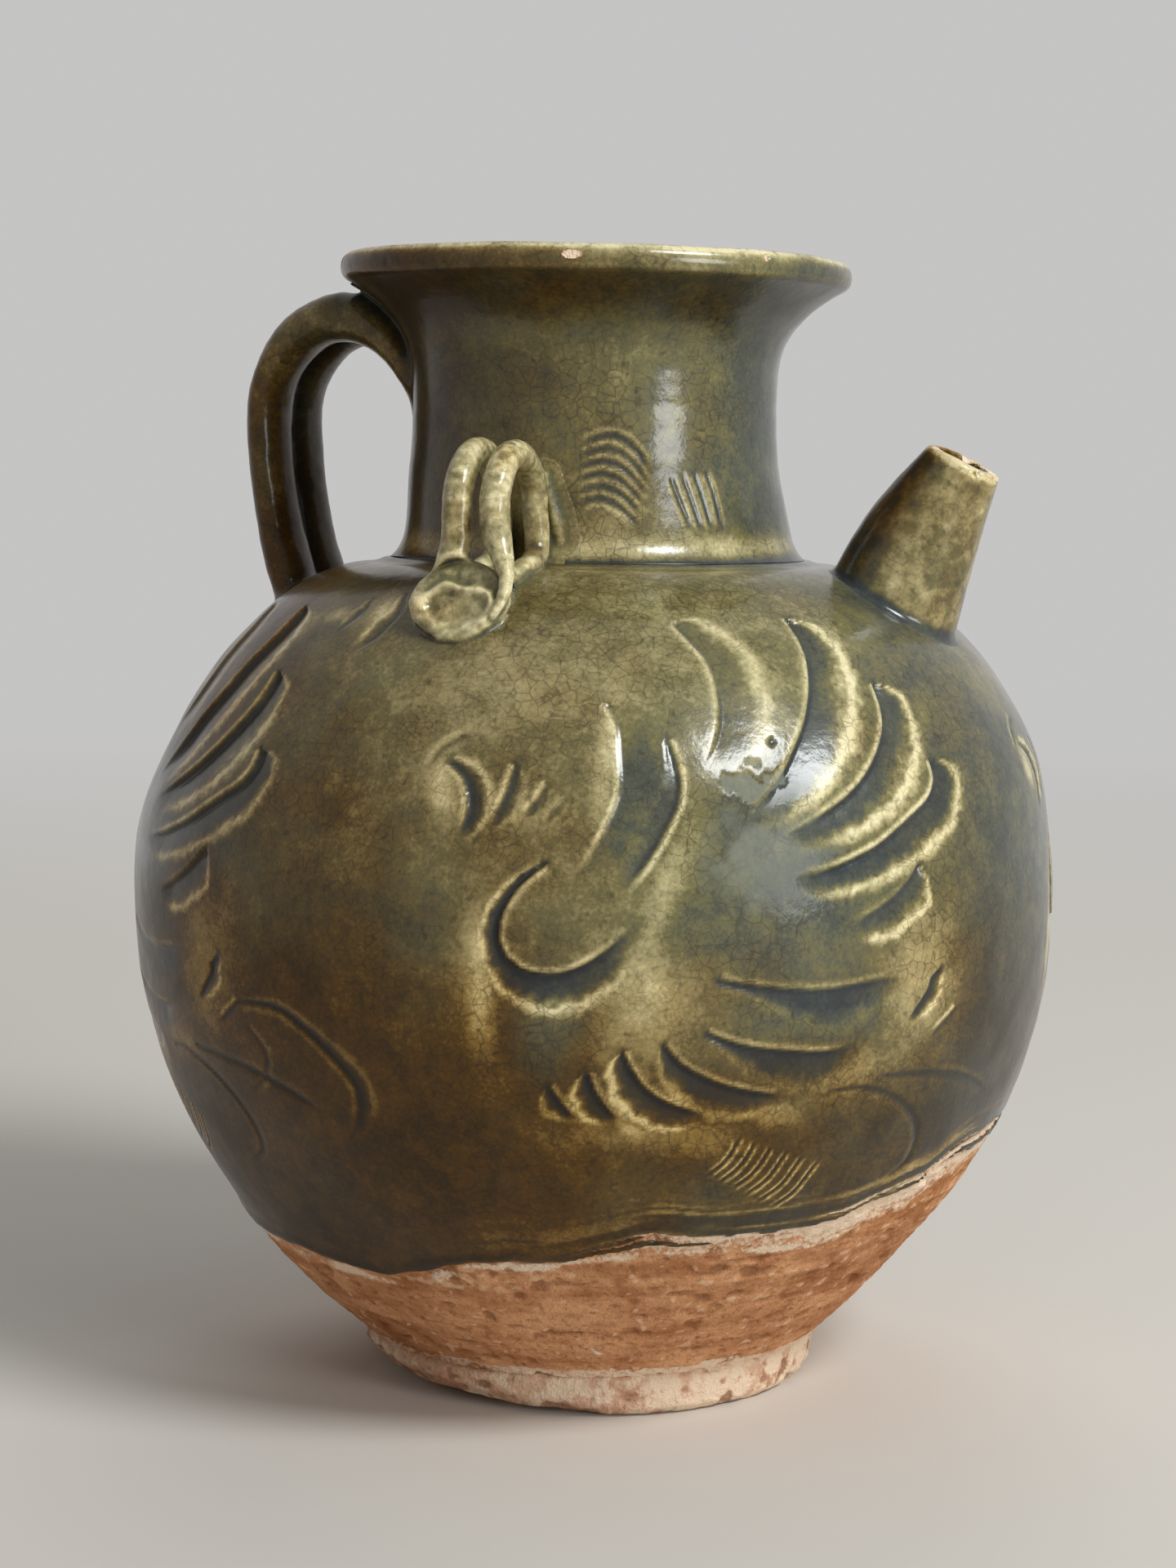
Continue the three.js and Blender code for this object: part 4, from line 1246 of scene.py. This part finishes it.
def make_lug(place, sign, glaze):
    """A lug at the front (sign -1, towards -Y) or at the back (sign 1). Its own frame has it on +Y."""
    flip = np.array([-sign, sign, 1.0])
    left_loop, right_loop, ridge = lug_loop(-1), lug_loop(1), neck_ridge()
    sideways = np.array([1.0, 0.0, 0.0])
    down = np.array([0.0, math.cos(DISC_SLOPE), -math.sin(DISC_SLOPE)])
    out = np.array([0.0, math.sin(DISC_SLOPE), math.cos(DISC_SLOPE)])
    shift = 7 * sign

    def on_disc(q):
        """How far points are outside the disc's edge, in front of its face, off its plate and down it."""
        offset = q - DISC_CENTRE
        fall = offset @ down
        outside, height, plate = disc_relief(offset[:, 0], fall, shift)
        return outside, offset @ out - height, plate, fall

    def shape(points):
        q = points * flip
        outside, front, _, _ = on_disc(q)
        left, right, roll = (strand_field(q, path, sideways) for path in (left_loop, right_loop, ridge))
        lump = ball_field(q, LUMP_CENTRE, LUMP_RADII)
        root = cut_by(joined(left, lump, 1.4), -np.maximum(outside + 0.3, -front), 0.5)
        disc = cut_by(cut_by(outside, front, 0.7), -front - DISC_THICKNESS, 0.8)
        whole = joined(joined(joined(root, disc, 0.9), right, 0.6), roll, 0.4)
        return whole + 0.10 * noise(points + shift, 5, 83) + 0.05 * noise(points + shift, 1.6, 84)

    def labels(centres):
        q = centres * flip
        low = (skin_field(centres) < 3.0) & (q[:, 1] > 51.5)
        pressed = (q[:, 2] < 144.4) & (q[:, 1] > 50.5)
        return np.where(low | pressed, 2, (q[:, 0] > 0).astype(int))

    def glazing(vertices, maps):
        q = vertices * flip
        outside, front, plate, fall = on_disc(q)
        face = smoothstep(0.9, 0.2, np.abs(front)) * smoothstep(0.5, -0.7, outside)
        hollow = face * smoothstep(0.4, 1.6, plate)
        rim = face * hill(plate, 0.8) * smoothstep(4.5, 1.5, fall)
        edge = smoothstep(1.4, 0.4, np.abs(front)) * hill(outside + 1.2, 1.3) * smoothstep(-3.5, 2.0, fall)
        mottle = 0.10 * noise(vertices, 2.2, 89) + 0.14 * noise(vertices, 0.9, 93)
        drawn = 0.27 + 0.17 * hollow - 0.27 * np.maximum(rim, edge)
        share = 0.7 * np.maximum(face, edge)
        roll = smoothstep(0.5, 0.0, strand_field(q, ridge, sideways))
        maps["tone"] = unit(maps["tone"] * (1 - share) + drawn * share + mottle + 0.2 * roll)
        maps["warm"] = unit(maps["warm"] - 0.12 - 0.3 * hollow + 0.25 * noise(vertices, 4.0, 94))

    pieces = [(f"lug_{place}_{name}", f"lug_{place}_{node}") for name, node in
              (("loop_left", "left_loop"), ("loop_right", "right_loop"), ("pressed_pad", "pad"))]
    box = np.sort(np.array(LUG_BOX) * flip, axis=0)
    clay_pieces(shape, 1.3, box, labels, glaze, pieces, 0.38, 0.36, glazing)


# The glaze, the clay and the room

def colour(red, green, blue):
    """A linear colour from sRGB values of 0 to 255."""
    def linear(value):
        value /= 255
        return value / 12.92 if value <= 0.04045 else ((value + 0.055) / 1.055) ** 2.4

    return linear(red), linear(green), linear(blue), 1.0


class Shader:
    """The node tree of a material or a world, with short calls for its nodes."""

    def __init__(self, owner):
        owner.use_nodes = True
        self.owner, self.tree = owner, owner.node_tree
        self.tree.nodes.clear()
        self.place = self.add("ShaderNodeTexCoord").outputs["Object"]

    def add(self, kind, inputs=None, **settings):
        node = self.tree.nodes.new(kind)
        for key, value in settings.items():
            setattr(node, key, value)
        for key, value in (inputs or {}).items():
            if isinstance(value, bpy.types.NodeSocket):
                self.tree.links.new(value, node.inputs[key])
            else:
                node.inputs[key].default_value = value
        return node

    def finished(self, surface, output="ShaderNodeOutputMaterial"):
        self.add(output, {"Surface": surface})
        return self.owner

    def maths(self, operation, a, b):
        return self.add("ShaderNodeMath", {0: a, 1: b}, operation=operation).outputs[0]

    def sum(self, first, *others):
        for other in others:
            first = self.maths("ADD", first, other)
        return first

    def times(self, a, b):
        return self.maths("MULTIPLY", a, b)

    def fitted(self, value, low, high, start=0.0, end=1.0):
        """A value between low and high, moved smoothly to between start and end."""
        inputs = {"Value": value, "From Min": low, "From Max": high, "To Min": start, "To Max": end}
        return self.add("ShaderNodeMapRange", inputs, interpolation_type="SMOOTHSTEP").outputs["Result"]

    def blend(self, share, a, b):
        return self.add("ShaderNodeMix", {0: share, 6: a, 7: b}, data_type="RGBA").outputs[2]

    def blend_values(self, share, a, b):
        return self.add("ShaderNodeMix", {0: share, 2: a, 3: b}).outputs[0]

    def map(self, name):
        return self.add("ShaderNodeAttribute", attribute_name=name).outputs["Fac"]

    def speckle(self, size, detail=2.0, stretch=None):
        """Noise around 0.5 with features of a size in mm."""
        place = self.place
        if stretch:
            place = self.add("ShaderNodeMapping", {"Vector": place, "Scale": stretch}).outputs[0]
        inputs = {"Vector": place, "Scale": 1 / (size * MM), "Detail": detail, "Roughness": 0.6}
        return self.add("ShaderNodeTexNoise", inputs).outputs["Fac"]

    def cracks(self, size, width):
        """1 on the borders of cells of a size in mm, and 0 away from them."""
        inputs = {"Vector": self.place, "Scale": 1 / (size * MM)}
        node = self.add("ShaderNodeTexVoronoi", inputs, feature="DISTANCE_TO_EDGE")
        return self.fitted(node.outputs["Distance"], 0.0, width / size, 1.0, 0.0)

    def ramp(self, value, stops):
        node = self.add("ShaderNodeValToRGB", {"Fac": value})
        elements = node.color_ramp.elements
        while len(elements) < len(stops):
            elements.new(0.5)
        for element, (position, shade) in zip(elements, stops):
            element.position = position
            element.color = shade
        return node.outputs["Color"]

    def coated(self, base, roughness, gloss, height):
        """A surface where gloss is the share of a glassy coat and height is a relief in mm."""
        bump = self.add("ShaderNodeBump", {"Height": height, "Distance": MM, "Strength": 1.0})
        inputs = {"Base Color": base, "Roughness": roughness, "Normal": bump.outputs["Normal"], "IOR": 1.45,
                  "Specular IOR Level": 0.1, "Coat Weight": gloss, "Coat Roughness": 0.17, "Coat IOR": 1.4,
                  "Coat Normal": bump.outputs["Normal"]}
        return self.add("ShaderNodeBsdfPrincipled", inputs).outputs[0]


# From thin glaze over the clay to glaze pooled in a cut, in green glaze and in brown glaze; low on the body
# the brown also carries a painted warm bounce of light
GREEN_GLAZE = [
    (0.0, colour(228, 216, 172)), (0.2, colour(180, 169, 124)), (0.47, colour(118, 111, 70)),
    (0.72, colour(76, 79, 66)), (1.0, colour(44, 50, 54)),
]
BROWN_GLAZE = [
    (0.0, colour(208, 180, 116)), (0.2, colour(150, 118, 56)), (0.47, colour(92, 62, 16)),
    (0.72, colour(56, 40, 15)), (1.0, colour(38, 36, 36)),
]


def fired_material(name, clay_light, clay_dark, crackle=1.0):
    """Glaze where the bare map is 0 and fired clay where it is 1, with a share of the usual crackle."""
    s = Shader(bpy.data.materials.new(name))
    mottle, fine, drift = s.speckle(6.5, 4.0), s.speckle(0.7, 3.0), s.speckle(22.0, 2.0)
    bare, slip, worn, relief = s.map("bare"), s.map("slip"), s.map("worn"), s.map("tone")
    tone = s.sum(relief, s.fitted(mottle, 0.2, 0.8, -0.09, 0.09), s.fitted(fine, 0.2, 0.8, -0.08, 0.08),
                 s.fitted(s.speckle(2.4, 2.0), 0.25, 0.75, -0.05, 0.05))
    warm = s.fitted(s.sum(s.map("warm"), s.fitted(drift, 0.2, 0.8, -0.2, 0.2)), 0.0, 1.0)
    glaze = s.blend(warm, s.ramp(tone, GREEN_GLAZE), s.ramp(tone, BROWN_GLAZE))
    cracks = s.times(s.cracks(2.4, 0.15), s.fitted(drift, 0.38, 0.6, 0.12 * crackle, 0.5 * crackle))
    fine_cracks = s.times(s.cracks(1.4, 0.1), s.fitted(mottle, 0.4, 0.6, 0.0, 0.34 * crackle))
    glaze = s.blend(s.sum(cracks, fine_cracks), glaze, colour(50, 40, 24))
    freckle = s.times(s.fitted(s.speckle(1.6, 1.0), 0.62, 0.74), 0.4)
    glaze = s.blend(freckle, glaze, colour(48, 38, 22))
    # Where wear is high the glaze turns pale grey: real wear, and on the belly's duller patch a painted soft
    # sheen
    glaze = s.blend(s.fitted(worn, 0.35, 0.8, 0.0, 0.55), glaze, colour(140, 144, 132))

    grain = s.speckle(0.9, 4.0)
    bands = s.speckle(3.0, 3.0, (0.1, 0.1, 1.0))
    share = s.sum(s.times(bands, 0.35), s.times(mottle, 0.4), s.times(drift, 0.25))
    clay = s.blend(s.fitted(share, 0.36, 0.64), clay_dark, clay_light)
    clay = s.blend(s.times(s.fitted(grain, 0.52, 0.7), 0.5), clay, colour(122, 74, 44))
    # Darker clay where the tone map is high, which on bare clay is the painted shade of pits and dents
    clay = s.blend(s.fitted(relief, 0.55, 0.9, 0.0, 0.5), clay, colour(112, 66, 40))
    clay = s.blend(s.fitted(relief, 0.45, 0.2, 0.0, 0.6), clay, colour(236, 196, 158))
    pale = s.fitted(s.sum(slip, s.fitted(grain, 0.3, 0.7, -0.3, 0.15)), 0.25, 0.75)
    clay = s.blend(pale, clay, colour(240, 214, 186))
    edge = s.fitted(s.sum(bare, s.fitted(fine, 0.2, 0.8, -0.12, 0.12)), 0.35, 0.65)
    base = s.blend(edge, glaze, clay)

    roughness = s.blend_values(edge, s.sum(s.fitted(mottle, 0.3, 0.7, 0.28, 0.4), s.times(worn, 0.3)), 0.9)
    dull = s.maths("MAXIMUM", edge, worn)
    gloss = s.times(s.fitted(dull, 0.0, 0.8, 1.0, 0.0), s.fitted(warm, 0.0, 1.0, 1.0, 0.5))
    skin = s.sum(s.times(s.speckle(1.5, 2.0), 0.03), s.times(mottle, 0.12))
    pores = s.sum(s.times(grain, 0.6), s.times(s.speckle(0.35, 2.0), 0.22))
    return s.finished(s.coated(base, roughness, gloss, s.blend_values(edge, skin, pores)))


LAMP_DISTANCE = 1.3
# Azimuth and elevation in degrees, width and height in metres, and power in watts
HIGH_WINDOW = (-23.0, 45.0, 0.48, 0.32, 11.5)
LOW_WINDOW = (-23.0, 10.0, 0.42, 0.46, 5.6)
# A dim light from behind, which makes no glints
FILL = (111.0, 38.0, 0.9, 0.9, 4.5)
WINDOW_COLOUR = (0.95, 0.99, 1.0)
BACKGROUND_COLOUR = (1.0, 0.99, 0.985, 1.0)
BACKGROUND = 0.56
AMBIENT = 0.26
FLOOR_FADE, FLOOR_REACH = 0.3, 1.3
OBJECT_MIDDLE = Vector((0, 0, 0.095))


def lamp(name, azimuth, elevation, wide, high, power):
    """An area lamp that faces the object. Azimuths are in the object's own frame, from +X."""
    a, e = math.radians(azimuth), math.radians(elevation)
    way = Vector((math.cos(a) * math.cos(e), math.sin(a) * math.cos(e), math.sin(e)))
    data = bpy.data.lights.new(name, "AREA")
    data.shape = "ELLIPSE"
    data.size, data.size_y, data.energy = wide, high, power
    data.color = WINDOW_COLOUR
    lit = new_object(name, data)
    lit.location = OBJECT_MIDDLE + way * LAMP_DISTANCE
    lit.rotation_euler = way.to_track_quat("Z", "Y").to_euler()
    return lit


def make_world():
    """A dim surrounding light that is a pale background for the camera, in reflections and through glass."""
    s = Shader(bpy.data.worlds.new("studio"))
    rays = s.add("ShaderNodeLightPath").outputs
    seen = s.sum(rays["Is Camera Ray"], rays["Is Glossy Ray"], rays["Is Transmission Ray"])
    level = s.add("ShaderNodeMapRange", {"Value": seen, "To Min": AMBIENT, "To Max": BACKGROUND}).outputs[0]
    back = s.add("ShaderNodeBackground", {"Color": BACKGROUND_COLOUR, "Strength": level}).outputs[0]
    bpy.context.scene.world = s.finished(back, "ShaderNodeOutputWorld")


def make_floor():
    """A pale floor that fades out with its distance."""
    mesh = bpy.data.meshes.new("floor")
    corners = [(x * FLOOR_REACH, y * FLOOR_REACH, 0) for x, y in ((-1, -1), (1, -1), (1, 1), (-1, 1))]
    mesh.from_pydata(corners, [], [(0, 1, 2, 3)])
    s = Shader(bpy.data.materials.new("pale_floor"))
    inputs = {"Base Color": colour(214, 208, 200), "Roughness": 0.9, "Specular IOR Level": 0.1}
    surface = s.add("ShaderNodeBsdfPrincipled", inputs).outputs[0]
    far = s.add("ShaderNodeVectorMath", {0: s.place}, operation="LENGTH").outputs["Value"]
    clear = s.add("ShaderNodeBsdfTransparent").outputs[0]
    inputs = {0: s.fitted(far, FLOOR_FADE, FLOOR_REACH), 1: surface, 2: clear}
    mesh.materials.append(s.finished(s.add("ShaderNodeMixShader", inputs).outputs[0]))
    new_object("floor", mesh)


def make_camera():
    data = bpy.data.cameras.new("camera")
    data.sensor_fit = "AUTO"
    data.sensor_width = SENSOR
    data.lens = FOCAL_PIXELS * SENSOR / PICTURE_HEIGHT
    data.clip_start, data.clip_end = 0.05, 100.0
    camera = new_object("camera", data)
    turn = Matrix((RIGHT, UP, -FORWARD)).transposed()
    camera.matrix_world = Matrix.Translation(Vector(EYE) * MM) @ turn.to_4x4()
    bpy.context.scene.camera = camera


glaze = fired_material("olive_glaze", colour(218, 160, 114), colour(176, 116, 72))
pale_glaze = fired_material("pale_olive_glaze", colour(216, 196, 152), colour(186, 156, 110), 0.55)
body_clay = fired_material("reddish_clay", colour(228, 170, 124), colour(168, 108, 68))
foot_clay = fired_material("pale_foot_clay", colour(230, 192, 162), colour(196, 142, 108))

make_body(glaze, body_clay)
make_neck(glaze)
make_foot(foot_clay)
make_handle(glaze)
make_spout(pale_glaze)
make_lug("front", -1, pale_glaze)
make_lug("back", 1, pale_glaze)

make_world()
make_floor()
lamp("high_window", *HIGH_WINDOW)
lamp("low_window", *LOW_WINDOW)
lamp("fill", *FILL).visible_glossy = False
make_camera()
bpy.context.scene.view_settings.view_transform = "Standard"
